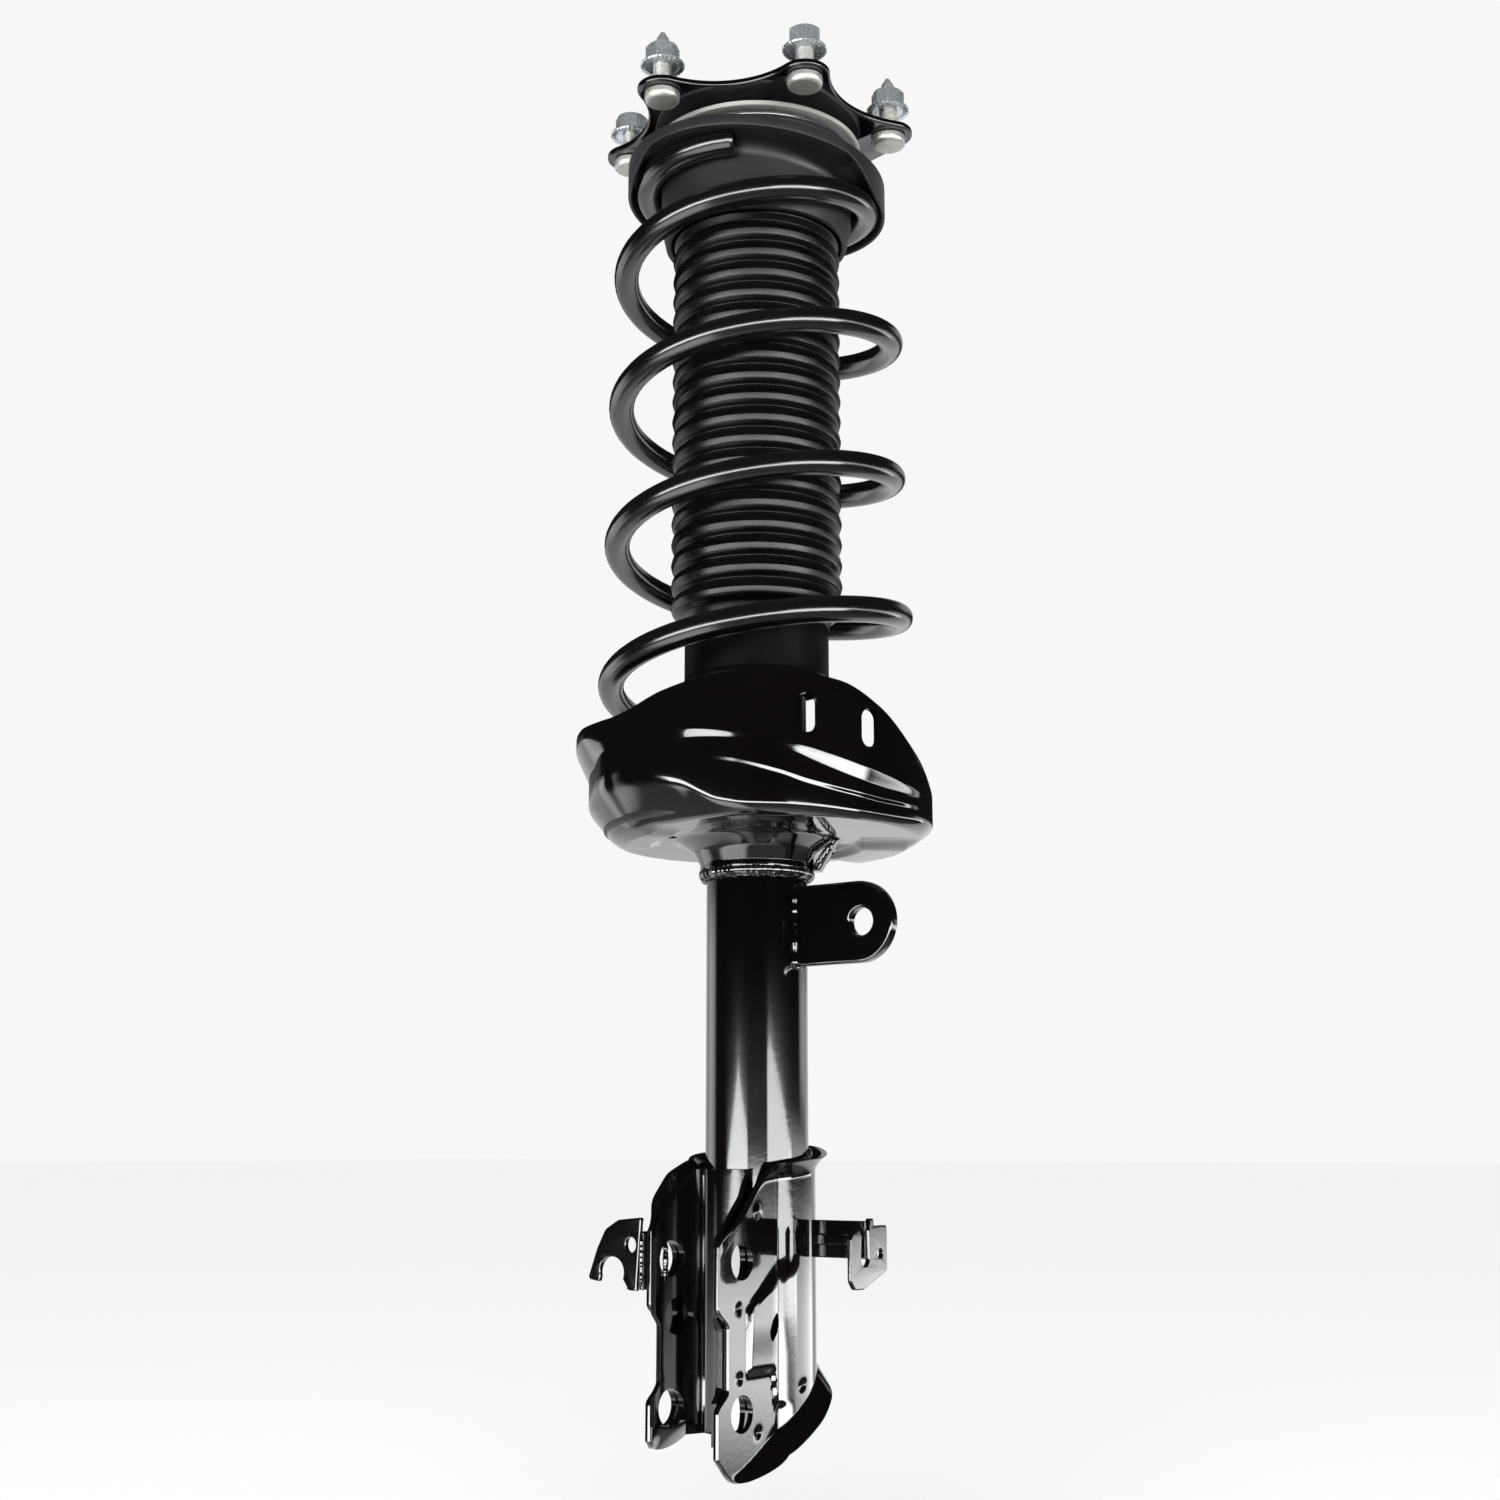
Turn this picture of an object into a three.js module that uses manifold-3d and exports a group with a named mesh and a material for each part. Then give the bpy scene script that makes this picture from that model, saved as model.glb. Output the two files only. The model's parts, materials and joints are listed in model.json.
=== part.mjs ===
// Front suspension strut assembly for a passenger car, in millimetres.
// +Z runs up the strut axis. The origin is the centre of the top mount plate's upper face.
// The clevis that holds the steering knuckle opens towards -Y, and the stabiliser link tab points to +X.
import * as THREE from 'three';
import { mergeVertices } from 'three/addons/utils/BufferGeometryUtils.js';
import Module from 'manifold-3d';

const wasm = await Module();
wasm.setup();

const FULL_TURN = 2 * Math.PI;
const GAP = 0.3;

// Driving dimensions
const TUBE_RADIUS = 25.5;
const TUBE_WALL = 2.5;
const TUBE_TOP = -268;
const TUBE_BOTTOM = -666;
const TUBE_SIDES = 24;
const ROD_RADIUS = 11;
const ROD_THREAD_RADIUS = 7;
const ROD_SHOULDER = -9;

const PLATE_THICKNESS = 3.5;
const PLATE_WAIST = 62;
const LOBE_RADIUS = 13;
const STUD_CIRCLE = 72.5;
const STUD_ANGLES = [-159, -97, -34, 30, 118];
const STUD_RADIUS = 4.9;
const STUD_HEAD_RADIUS = 9.3;
const STUD_HEAD_HEIGHT = 5.5;
const POINTED_STUD_TOP = 31.5;
const PLAIN_STUD_TOP = 23.5;
const POINTED_STUDS = [-97, 30];
const STUD_NUT_SEAT = 11;
const STUD_NUT_ACROSS_FLATS = 16;
const STUD_NUT_HEIGHT = 11.4;
const STUD_NUT_FLANGE = 12;

const BEARING_RADIUS = 57;
const BALL_CIRCLE = 46;
const BALL_RADIUS = 2.1;
const BALL_COUNT = 14;

const SEAT_RADIUS = 70;
const SEAT_TOP = -19;
const SEAT_LIP = -39;
const HUB_RADIUS = 51.6;
const HUB_BOTTOM = -66;

const BOOT_RIB_RADIUS = 45;
const BOOT_VALLEY_RADIUS = 41;
const BOOT_PITCH = 11.4;
const BOOT_RIBS = 18;
const BOOT_TOP = -69.6;
const BOOT_COLLAR_TOP = -55;
const BOOT_CUFF_RADIUS = 37.5;
const BOOT_WALL = 1.5;
const BOOT_SIDES = 14;

const WIRE_RADIUS = 6.6;
const SPRING_PITCH = 76;
const SPRING_TURNS = 5.45;
const SPRING_TOP = -34;
const SPRING_START_ANGLE = -65;
const SPRING_TOP_RADIUS = 59.5;
const SPRING_WIDENING = 12.5;
const SPRING_LOWER_WIDENING = 3.5;
const SPRING_END_NARROWING = 2.5;

const PAN_RADIUS = 90;
const PAN_FLOOR = -392;
const PAN_SHEET = 3;
const NECK_RADIUS = 28.8;

const CLEVIS_GAP = 36;
const EAR_SHEET = 3;
const CHANNEL_WRAP = 26;
const CHANNEL_SHEET = 2.7;
const BOLT_Y = -45;
const BOLT_HEIGHTS = [-596.5, -664];
const BOLT_HOLE_RADIUS = 8.5;

const TAB_LENGTH = 82;
const TAB_HEIGHT = 40;
const TAB_THICKNESS = 6;
const TAB_CENTRE_Z = -437;
const TAB_HOLE_X = 64;
const TAB_HOLE_RADIUS = 6.75;

const assembly = new THREE.Group();
assembly.name = 'strut_assembly';

// Finishes
const gloss = { color: 0x0b0b0c, roughness: 0.18, metalness: 0.3 };
const rubber = { color: 0x141414, roughness: 0.75, metalness: 0 };
const zinc = { color: 0xaeb6bd, roughness: 0.35, metalness: 1 };
const steel = { color: 0x8f9295, roughness: 0.3, metalness: 1 };
const chrome = { color: 0xd8dadc, roughness: 0.08, metalness: 1 };
const plastic = { color: 0xc9cac6, roughness: 0.5, metalness: 0 };
const darkPlastic = { color: 0x1b1b1d, roughness: 0.55, metalness: 0 };
const foam = { color: 0xb9a55a, roughness: 0.9, metalness: 0 };
const bronze = { color: 0x9a7446, roughness: 0.4, metalness: 0.8 };

function addPart(name, geometry, finish) {
  const mesh = new THREE.Mesh(geometry, new THREE.MeshStandardMaterial(finish));
  mesh.name = name;
  assembly.add(mesh);
  return mesh;
}

// Booleans: geometry to solid and back

function toSolid(geometry) {
  const bare = geometry.clone();
  bare.deleteAttribute('normal');
  bare.deleteAttribute('uv');
  const merged = mergeVertices(bare, 1e-4);
  const vertProperties = new Float32Array(merged.attributes.position.array);
  const triVerts = new Uint32Array(merged.index.array);
  return new wasm.Manifold(new wasm.Mesh({ numProp: 3, vertProperties, triVerts }));
}

function toGeometry(solid) {
  const mesh = solid.getMesh();
  const geometry = new THREE.BufferGeometry();
  geometry.setAttribute('position', new THREE.BufferAttribute(new Float32Array(mesh.vertProperties), 3));
  geometry.setIndex(new THREE.BufferAttribute(new Uint32Array(mesh.triVerts), 1));
  return geometry;
}

function cut(geometry, ...tools) {
  const remaining = tools.reduce((solid, tool) => solid.subtract(toSolid(tool)), toSolid(geometry));
  return toGeometry(remaining);
}

function join(geometry, ...others) {
  const joined = others.reduce((solid, other) => solid.add(toSolid(other)), toSolid(geometry));
  return toGeometry(joined);
}

// Basic shapes, all about the Z axis

function revolve(outline, segments = 18) {
  const points = outline.map(([radius, z]) => new THREE.Vector2(radius, z));
  points.push(points[0].clone());
  const geometry = new THREE.LatheGeometry(points, segments);
  geometry.rotateX(Math.PI / 2);
  return geometry;
}

function ring(innerRadius, outerRadius, bottom, top, segments = 18) {
  return revolve([
    [innerRadius, bottom], [outerRadius, bottom], [outerRadius, top], [innerRadius, top],
  ], segments);
}

function rod(radius, bottom, top, segments = 16) {
  const geometry = new THREE.CylinderGeometry(radius, radius, top - bottom, segments);
  geometry.rotateX(Math.PI / 2);
  geometry.translate(0, 0, (bottom + top) / 2);
  return geometry;
}

function extrude(shape, bottom, top, curveSegments = 6) {
  const depth = top - bottom;
  const geometry = new THREE.ExtrudeGeometry(shape, { depth, bevelEnabled: false, curveSegments });
  geometry.translate(0, 0, bottom);
  return geometry;
}

function polygon(points) {
  return new THREE.Shape(points.map(([x, y]) => new THREE.Vector2(x, y)));
}

// A revolved outline that closes on the axis at its two ends
function revolveSolid(outline, bottom, top, segments = 18) {
  const points = [[0, bottom], ...outline, [0, top]].map(([radius, z]) => new THREE.Vector2(radius, z));
  const geometry = new THREE.LatheGeometry(points, segments);
  geometry.rotateX(Math.PI / 2);
  return geometry;
}

// A flat shape drawn in (y, z), given thickness along X
function extrudeAlongX(shape, from, to, curveSegments = 6) {
  const geometry = extrude(shape, from, to, curveSegments);
  geometry.applyMatrix4(new THREE.Matrix4().set(0, 0, 1, 0, 1, 0, 0, 0, 0, 1, 0, 0, 0, 0, 0, 1));
  return geometry;
}

// A flat shape drawn in (x, z), given thickness along Y
function extrudeAlongY(shape, from, to, curveSegments = 6) {
  const geometry = extrude(shape, -to, -from, curveSegments);
  geometry.applyMatrix4(new THREE.Matrix4().set(1, 0, 0, 0, 0, 0, -1, 0, 0, 1, 0, 0, 0, 0, 0, 1));
  return geometry;
}

function ramp(value, from, to) {
  return THREE.MathUtils.smoothstep(value, from, to);
}

function polar(radius, degrees) {
  const angle = THREE.MathUtils.degToRad(degrees);
  return [radius * Math.cos(angle), radius * Math.sin(angle)];
}

// Top mount: pressed plate with five lobes, each lobe joined to the next by a tangent hollow arc

function plateOutline() {
  const shape = new THREE.Shape();
  STUD_ANGLES.forEach((degrees, index) => {
    const next = STUD_ANGLES[(index + 1) % STUD_ANGLES.length] + (index + 1 < STUD_ANGLES.length ? 0 : 360);
    const middle = (degrees + next) / 2;
    const half = THREE.MathUtils.degToRad((next - degrees) / 2);
    const along = PLATE_WAIST - STUD_CIRCLE * Math.cos(half);
    const across = STUD_CIRCLE * Math.sin(half);
    const hollow = (along ** 2 + across ** 2 - LOBE_RADIUS ** 2) / (2 * (LOBE_RADIUS - along));
    const lobe = polar(STUD_CIRCLE, degrees);
    const hollowCentre = polar(PLATE_WAIST + hollow, middle);
    const nextLobe = polar(STUD_CIRCLE, next);
    const leave = Math.atan2(hollowCentre[1] - lobe[1], hollowCentre[0] - lobe[0]);
    const arrive = Math.atan2(hollowCentre[1] - nextLobe[1], hollowCentre[0] - nextLobe[0]);
    const axis = THREE.MathUtils.degToRad(degrees);
    const spread = Math.atan2(Math.sin(leave - axis), Math.cos(leave - axis));
    shape.absarc(lobe[0], lobe[1], LOBE_RADIUS, axis - spread, axis + spread, false);
    shape.absarc(hollowCentre[0], hollowCentre[1], hollow, leave + Math.PI, arrive + Math.PI, true);
  });
  return shape;
}

const CUP_RADIUS = 32.6;
const CUP_WALL = 2.6;
const CUP_TOP = 9;
const SLEEVE_BOTTOM = -6;
const SLEEVE_TOP = 8;
const SLEEVE_RADIUS = 13;

function hexNut(acrossFlats, boreRadius, bottom, top) {
  const corner = acrossFlats / Math.sqrt(3);
  const hexagon = polygon([0, 60, 120, 180, 240, 300].map((degrees) => polar(corner, degrees)));
  hexagon.holes.push(new THREE.Path().absarc(0, 0, boreRadius, 0, FULL_TURN, true));
  return extrude(hexagon, bottom, top);
}

function flangeNut() {
  const bore = STUD_RADIUS + GAP;
  const flangeTop = STUD_NUT_SEAT + 3.5;
  const flange = revolve([
    [bore, STUD_NUT_SEAT], [STUD_NUT_FLANGE, STUD_NUT_SEAT], [STUD_NUT_FLANGE, STUD_NUT_SEAT + 1.4],
    [8.6, flangeTop], [bore, flangeTop],
  ], 14);
  const hexagon = hexNut(STUD_NUT_ACROSS_FLATS, bore, STUD_NUT_SEAT + 1, STUD_NUT_SEAT + STUD_NUT_HEIGHT);
  return join(flange, hexagon);
}

// Press-in stud: button head under the plate and a threaded shank, some with a pointed dog tip
function stud(isPointed) {
  const headTop = -PLATE_THICKNESS - GAP;
  const headBottom = headTop - STUD_HEAD_HEIGHT;
  const shank = [
    [STUD_HEAD_RADIUS - 1, headBottom], [STUD_HEAD_RADIUS, headBottom + 1], [STUD_HEAD_RADIUS, headTop - 1],
    [STUD_HEAD_RADIUS - 1, headTop], [STUD_RADIUS, headTop],
  ];
  if (!isPointed) {
    const plain = [...shank, [STUD_RADIUS, PLAIN_STUD_TOP - 1], [STUD_RADIUS - 1, PLAIN_STUD_TOP]];
    return revolveSolid(plain, headBottom, PLAIN_STUD_TOP, 10);
  }
  const top = POINTED_STUD_TOP;
  const pointed = [...shank, [STUD_RADIUS, top - 8], [3.4, top - 6.5], [3.2, top - 4]];
  return revolveSolid(pointed, headBottom, top, 10);
}

function addTopMount() {
  const studHoles = STUD_ANGLES.map((degrees) => {
    const hole = rod(STUD_RADIUS + GAP, -10, 10, 12);
    return hole.translate(...polar(STUD_CIRCLE, degrees), 0);
  });
  const blank = extrude(plateOutline(), -PLATE_THICKNESS, 0, 5);
  const plate = cut(blank, rod(CUP_RADIUS + GAP, -10, 10, 32), ...studHoles);
  addPart('mount_plate', plate, gloss);

  const cupInner = CUP_RADIUS - CUP_WALL;
  addPart('mount_cup', revolve([
    [cupInner, -PLATE_THICKNESS], [CUP_RADIUS, -PLATE_THICKNESS], [CUP_RADIUS, CUP_TOP - 4],
    [CUP_RADIUS - 4, CUP_TOP], [19, CUP_TOP], [19, CUP_TOP - CUP_WALL],
    [cupInner, CUP_TOP - CUP_WALL],
  ], 32), gloss);
  const bushTop = CUP_TOP - CUP_WALL - GAP;
  addPart('mount_bush', ring(SLEEVE_RADIUS + GAP, cupInner - GAP, -3, bushTop, 32), rubber);
  addPart('bush_sleeve', ring(ROD_THREAD_RADIUS + GAP, SLEEVE_RADIUS, SLEEVE_BOTTOM, SLEEVE_TOP), steel);
  addPart('rebound_washer', ring(ROD_THREAD_RADIUS + GAP, 17, SLEEVE_TOP + GAP, SLEEVE_TOP + 2.8), zinc);
  addPart('rod_nut', hexNut(22, ROD_THREAD_RADIUS + GAP, SLEEVE_TOP + 3.1, SLEEVE_TOP + 14), zinc);

  STUD_ANGLES.forEach((degrees, index) => {
    const place = new THREE.Vector3(...polar(STUD_CIRCLE, degrees), 0);
    addPart(`mount_stud_${index + 1}`, stud(POINTED_STUDS.includes(degrees)), steel).position.copy(place);
    addPart(`stud_nut_${index + 1}`, flangeNut(), zinc).position.copy(place);
  });
}

// Strut bearing between the mount and the upper spring seat

const CASE_TOP = -PLATE_THICKNESS - GAP;
const CASE_CEILING = -10.6;
const SKIRT_BOTTOM = -12.3;
const RACE_TOP = -15.4;
const RACE_BOTTOM = -19.7;
const BALL_HEIGHT = (CASE_CEILING + RACE_TOP) / 2;

function addBearing() {
  addPart('bearing_upper_case', revolve([
    [34, CASE_CEILING], [BEARING_RADIUS - 2.5, CASE_CEILING], [BEARING_RADIUS - 2.5, SKIRT_BOTTOM],
    [BEARING_RADIUS, SKIRT_BOTTOM], [BEARING_RADIUS, CASE_CEILING + 1.4], [38, CASE_TOP - 1.2],
    [38, CASE_TOP], [34, CASE_TOP],
  ], 32), plastic);
  const cage = ring(BALL_CIRCLE - 5, BALL_CIRCLE + 5, BALL_HEIGHT - 1, BALL_HEIGHT + 1, 28);
  const balls = [];
  for (let index = 0; index < BALL_COUNT; index += 1) {
    const ball = new THREE.IcosahedronGeometry(BALL_RADIUS, 0);
    ball.translate(...polar(BALL_CIRCLE, (360 * index) / BALL_COUNT), BALL_HEIGHT);
    balls.push(ball);
  }
  addPart('bearing_cage', join(cage, ...balls), steel);
  addPart('bearing_lower_race', ring(36, 56, RACE_BOTTOM, RACE_TOP, 32), darkPlastic);
}

// Upper spring seat: steel dish with a rubber isolator that hangs over the end coil

const DISH_BOTTOM = -22.6;
const GROOVE_CEILING = -26.5;

function addUpperSeat() {
  addPart('upper_spring_seat', ring(38, SEAT_RADIUS - 4, DISH_BOTTOM, RACE_BOTTOM - GAP, 32), gloss);
  addPart('upper_spring_isolator', revolve([
    [46.2, HUB_BOTTOM], [49, HUB_BOTTOM], [HUB_RADIUS, HUB_BOTTOM + 12], [HUB_RADIUS, GROOVE_CEILING],
    [SEAT_RADIUS - 2.8, GROOVE_CEILING], [SEAT_RADIUS - 2.8, SEAT_LIP], [SEAT_RADIUS, SEAT_LIP + 1],
    [SEAT_RADIUS, SEAT_TOP - 1], [SEAT_RADIUS - 1, SEAT_TOP], [SEAT_RADIUS - 3.7, SEAT_TOP],
    [SEAT_RADIUS - 3.7, DISH_BOTTOM - GAP], [46.2, DISH_BOTTOM - GAP],
  ], 36), rubber);
}

// Dust boot: a zigzag bellows with a plain collar at the top and a plain cuff at the bottom

const BOOT_BOTTOM = BOOT_TOP - BOOT_RIBS * BOOT_PITCH;
const CUFF_BOTTOM = BOOT_BOTTOM - 37;

function addDustBoot() {
  const outer = [[BOOT_RIB_RADIUS - 0.5, BOOT_COLLAR_TOP], [BOOT_RIB_RADIUS - 0.5, BOOT_TOP + 2]];
  for (let rib = 0; rib < BOOT_RIBS; rib += 1) {
    outer.push([BOOT_VALLEY_RADIUS, BOOT_TOP - rib * BOOT_PITCH]);
    outer.push([BOOT_RIB_RADIUS, BOOT_TOP - (rib + 0.5) * BOOT_PITCH]);
  }
  outer.push([BOOT_VALLEY_RADIUS, BOOT_BOTTOM]);
  outer.push([BOOT_CUFF_RADIUS, BOOT_BOTTOM - 6]);
  outer.push([BOOT_CUFF_RADIUS, CUFF_BOTTOM]);
  const inner = outer.map(([radius, z]) => [radius - BOOT_WALL, z]);
  addPart('dust_boot', revolve([...inner, ...outer.reverse()], BOOT_SIDES), rubber);
}

// Coil spring: right-hand helix with a closed end turn at each end

function springRadius(turn) {
  const wide = SPRING_WIDENING * ramp(turn, 0.6, 1.4) + SPRING_LOWER_WIDENING * ramp(turn, 2.5, 4.2);
  return SPRING_TOP_RADIUS + wide - SPRING_END_NARROWING * ramp(turn, 4.7, 5.3);
}

function springPath() {
  const stepsPerTurn = 20;
  const steps = Math.round(SPRING_TURNS * stepsPerTurn);
  const points = [];
  let z = SPRING_TOP;
  for (let step = 0; step <= steps; step += 1) {
    const turn = (SPRING_TURNS * step) / steps;
    const place = polar(springRadius(turn), SPRING_START_ANGLE - 360 * turn);
    points.push(new THREE.Vector3(...place, z));
    const slope = ramp(turn, 0.25, 0.85) * (1 - ramp(turn, 4.75, 5.36));
    z -= (slope * SPRING_PITCH * SPRING_TURNS) / steps;
  }
  return { curve: new THREE.CatmullRomCurve3(points), steps, end: z };
}

const { curve: springCurve, steps: springSteps, end: springEnd } = springPath();
const SPRING_REST = springEnd - WIRE_RADIUS;

function addSpring() {
  const wire = new THREE.Shape().absarc(0, 0, WIRE_RADIUS, 0, FULL_TURN, false);
  const geometry = new THREE.ExtrudeGeometry(wire, {
    steps: springSteps, curveSegments: 4, extrudePath: springCurve,
  });
  addPart('coil_spring', geometry, gloss);
}

// Damper internals that hang on the rod

const ROD_BOTTOM = -361;
const ROD_STEP = -331.6;
const STEM_RADIUS = 6;
const CYLINDER_RADIUS = 16;
const GUIDE_BOTTOM = -300;

function addRodGroup() {
  addPart('piston_rod', revolveSolid([
    [STEM_RADIUS, ROD_BOTTOM], [STEM_RADIUS, ROD_STEP], [ROD_RADIUS, ROD_STEP],
    [ROD_RADIUS, ROD_SHOULDER], [ROD_THREAD_RADIUS, ROD_SHOULDER], [ROD_THREAD_RADIUS, SLEEVE_TOP + 16],
  ], ROD_BOTTOM, SLEEVE_TOP + 16, 24), chrome);
  addPart('bump_stop_cup', revolve([
    [ROD_THREAD_RADIUS + GAP, ROD_SHOULDER + GAP], [24.6, ROD_SHOULDER + GAP], [24.6, -30], [27, -30],
    [27, SLEEVE_BOTTOM - GAP], [ROD_THREAD_RADIUS + GAP, SLEEVE_BOTTOM - GAP],
  ]), gloss);
  addPart('bump_stop', revolve([
    [ROD_RADIUS + 0.4, -129], [14, -129], [18, -118], [16.5, -104], [21.5, -90], [18.5, -75],
    [23, -60], [20, -45], [24.2, -32], [24.2, ROD_SHOULDER - GAP], [ROD_RADIUS + 0.4, ROD_SHOULDER - GAP],
  ]), foam);
  addPart('rebound_stop', ring(ROD_RADIUS + GAP, 15, GUIDE_BOTTOM - 8, GUIDE_BOTTOM - GAP), steel);

  const stemBore = STEM_RADIUS + GAP;
  const pistonTop = ROD_STEP - 2.1;
  const pistonBottom = pistonTop - 14.3;
  addPart('compression_shims', ring(stemBore, 13, pistonTop + GAP, ROD_STEP - GAP), steel);
  addPart('piston', revolve([
    [stemBore, pistonBottom], [15.4, pistonBottom], [15.4, pistonBottom + 2], [13.7, pistonBottom + 2],
    [13.7, pistonTop - 2.3], [15.4, pistonTop - 2.3], [15.4, pistonTop], [stemBore, pistonTop],
  ]), steel);
  addPart('piston_band', ring(14, CYLINDER_RADIUS - GAP, pistonBottom + 2.3, pistonTop - 2.6), bronze);
  addPart('rebound_shims', ring(stemBore, 12, pistonBottom - 1.8, pistonBottom - GAP), steel);
  addPart('piston_nut', hexNut(17, stemBore, pistonBottom - 10.8, pistonBottom - 2.1), zinc);
}

// Strut tube, its internals and its cap

function addTube() {
  const bore = TUBE_RADIUS - TUBE_WALL;
  const fit = bore - GAP;
  addPart('strut_tube', ring(bore, TUBE_RADIUS, TUBE_BOTTOM, TUBE_TOP, TUBE_SIDES), gloss);
  addPart('base_cap', rod(fit, TUBE_BOTTOM, TUBE_BOTTOM + 6, 18), gloss);
  addPart('base_valve', revolveSolid([
    [20, TUBE_BOTTOM + 6.3], [20, TUBE_BOTTOM + 13], [CYLINDER_RADIUS - GAP, TUBE_BOTTOM + 13],
    [CYLINDER_RADIUS - GAP, TUBE_BOTTOM + 20],
  ], TUBE_BOTTOM + 6.3, TUBE_BOTTOM + 20), steel);
  addPart('inner_cylinder', ring(CYLINDER_RADIUS, 17.6, TUBE_BOTTOM + 13.3, -292.3), steel);
  addPart('rod_guide', revolve([
    [ROD_RADIUS + GAP, GUIDE_BOTTOM], [CYLINDER_RADIUS - GAP, GUIDE_BOTTOM], [CYLINDER_RADIUS - GAP, -292],
    [fit, -292], [fit, -276], [ROD_RADIUS + GAP, -276],
  ]), steel);
  addPart('rod_seal', ring(ROD_RADIUS + GAP, fit, -275.7, -270), rubber);
  const capBore = TUBE_RADIUS + GAP;
  const cuffBore = (BOOT_CUFF_RADIUS - BOOT_WALL) * Math.cos(Math.PI / BOOT_SIDES) - GAP;
  addPart('striker_cap', revolve([
    [capBore, -296], [cuffBore, -296], [cuffBore, -289], [capBore + 2.8, -287],
    [capBore + 2.8, TUBE_TOP + 3],
    [12.5, TUBE_TOP + 3], [12.5, TUBE_TOP + GAP], [capBore, TUBE_TOP + GAP],
  ], TUBE_SIDES), darkPlastic);
}

// A closed sheet of even thickness from two grids of points; a round sheet meets itself at the ends
function sheet(surface, columns, rows, thickness, round) {
  const positions = [];
  for (const offset of [0, thickness]) {
    for (let column = 0; column < columns; column += 1) {
      for (let row = 0; row < rows; row += 1) {
        positions.push(...surface(column, row, offset));
      }
    }
  }
  const side = columns * rows;
  const at = (layer, column, row) => layer * side + (column % columns) * rows + row;
  const indices = [];
  const quad = (a, b, c, d) => indices.push(a, b, c, a, c, d);
  const spans = round ? columns : columns - 1;
  for (let column = 0; column < spans; column += 1) {
    const next = column + 1;
    for (let row = 0; row + 1 < rows; row += 1) {
      quad(at(0, column, row), at(0, next, row), at(0, next, row + 1), at(0, column, row + 1));
      quad(at(1, column, row), at(1, column, row + 1), at(1, next, row + 1), at(1, next, row));
    }
    quad(at(0, column, 0), at(1, column, 0), at(1, next, 0), at(0, next, 0));
    quad(at(0, column, rows - 1), at(0, next, rows - 1), at(1, next, rows - 1), at(1, column, rows - 1));
  }
  if (!round) {
    const last = columns - 1;
    for (let row = 0; row + 1 < rows; row += 1) {
      quad(at(0, 0, row), at(0, 0, row + 1), at(1, 0, row + 1), at(1, 0, row));
      quad(at(0, last, row), at(1, last, row), at(1, last, row + 1), at(0, last, row + 1));
    }
  }
  const geometry = new THREE.BufferGeometry();
  geometry.setAttribute('position', new THREE.Float32BufferAttribute(positions, 3));
  geometry.setIndex(indices);
  return geometry;
}

// Height along a line of [place, height] pairs, straight between them
function heightAt(line, place) {
  const next = line.findIndex(([start]) => start >= place);
  if (next <= 0) return next === 0 ? line[0][1] : line[line.length - 1][1];
  const [fromPlace, from] = line[next - 1];
  const [toPlace, to] = line[next];
  return THREE.MathUtils.lerp(from, to, (place - fromPlace) / (toPlace - fromPlace));
}

// Lower spring seat: a pressed pan with a high wall on one side and a neck round the tube

const PAN_RIM = [
  [-194, -370], [-164, -356], [-139, -341], [-102, -337], [-85, -330], [-65, -324], [-53, -322.5],
  [-28, -326.5], [-13, -336], [6, -354], [30, -370], [166, -370],
];

// Radius of the wall round the pan, by angle: it bulges at one side of the high wall
const PAN_REACH = [
  [-194, PAN_RADIUS], [-160, PAN_RADIUS], [-142, PAN_RADIUS + 2], [-116, PAN_RADIUS + 2],
  [-104, PAN_RADIUS - 1.5], [-80, PAN_RADIUS], [166, PAN_RADIUS],
];

function addSpringSeat() {
  const columns = 40;
  const profile = (rim, reach) => [
    [NECK_RADIUS, PAN_FLOOR - 16], [NECK_RADIUS, PAN_FLOOR - 6], [34, PAN_FLOOR], [80, PAN_FLOOR],
    [reach - 3.5, PAN_FLOOR + 4], [reach, PAN_FLOOR + 14], [reach, rim],
  ];
  const shift = [[-1, 0], [-1, 0.1], [-0.6, 0.9], [-0.1, 1], [-0.7, 0.7], [-1, 0.2], [-1, 0]];
  const surface = (column, row, offset) => {
    const degrees = -194 + (360 * column) / columns;
    const [radius, z] = profile(heightAt(PAN_RIM, degrees), heightAt(PAN_REACH, degrees))[row];
    const [inward, upward] = shift[row];
    return [...polar(radius + inward * offset, degrees), z + upward * offset];
  };
  const pan = sheet(surface, columns, shift.length, PAN_SHEET, true);
  const slot = new THREE.Shape();
  slot.absarc(0, 4.5, 5, 0, Math.PI, false);
  slot.absarc(0, -4.5, 5, Math.PI, FULL_TURN, false);
  const slotTool = (degrees, z) => {
    const tool = extrudeAlongX(slot, 75, 105, 4);
    tool.rotateZ(THREE.MathUtils.degToRad(degrees));
    tool.translate(0, 0, z);
    return tool;
  };
  const drain = rod(4, PAN_FLOOR - 5, PAN_FLOOR + 8, 10).translate(...polar(47, -124), 0);
  addPart('lower_spring_seat', cut(pan, slotTool(-39, -343.5), slotTool(-17, -348), drain), gloss);
  addPart('lower_spring_pad', ring(62, 78, PAN_FLOOR + PAN_SHEET + GAP, SPRING_REST - GAP, 32), rubber);

  const gusset = polygon([
    [NECK_RADIUS + GAP, -408], [33, -408], [43, -393], [43, -392.4], [35, -392.4],
    [NECK_RADIUS + GAP, -398],
  ]);
  const rib = extrudeAlongY(gusset, -5, 5);
  rib.rotateZ(THREE.MathUtils.degToRad(25));
  addPart('seat_gusset', rib, gloss);
}

// Stabiliser link tab welded to the side of the tube

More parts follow.
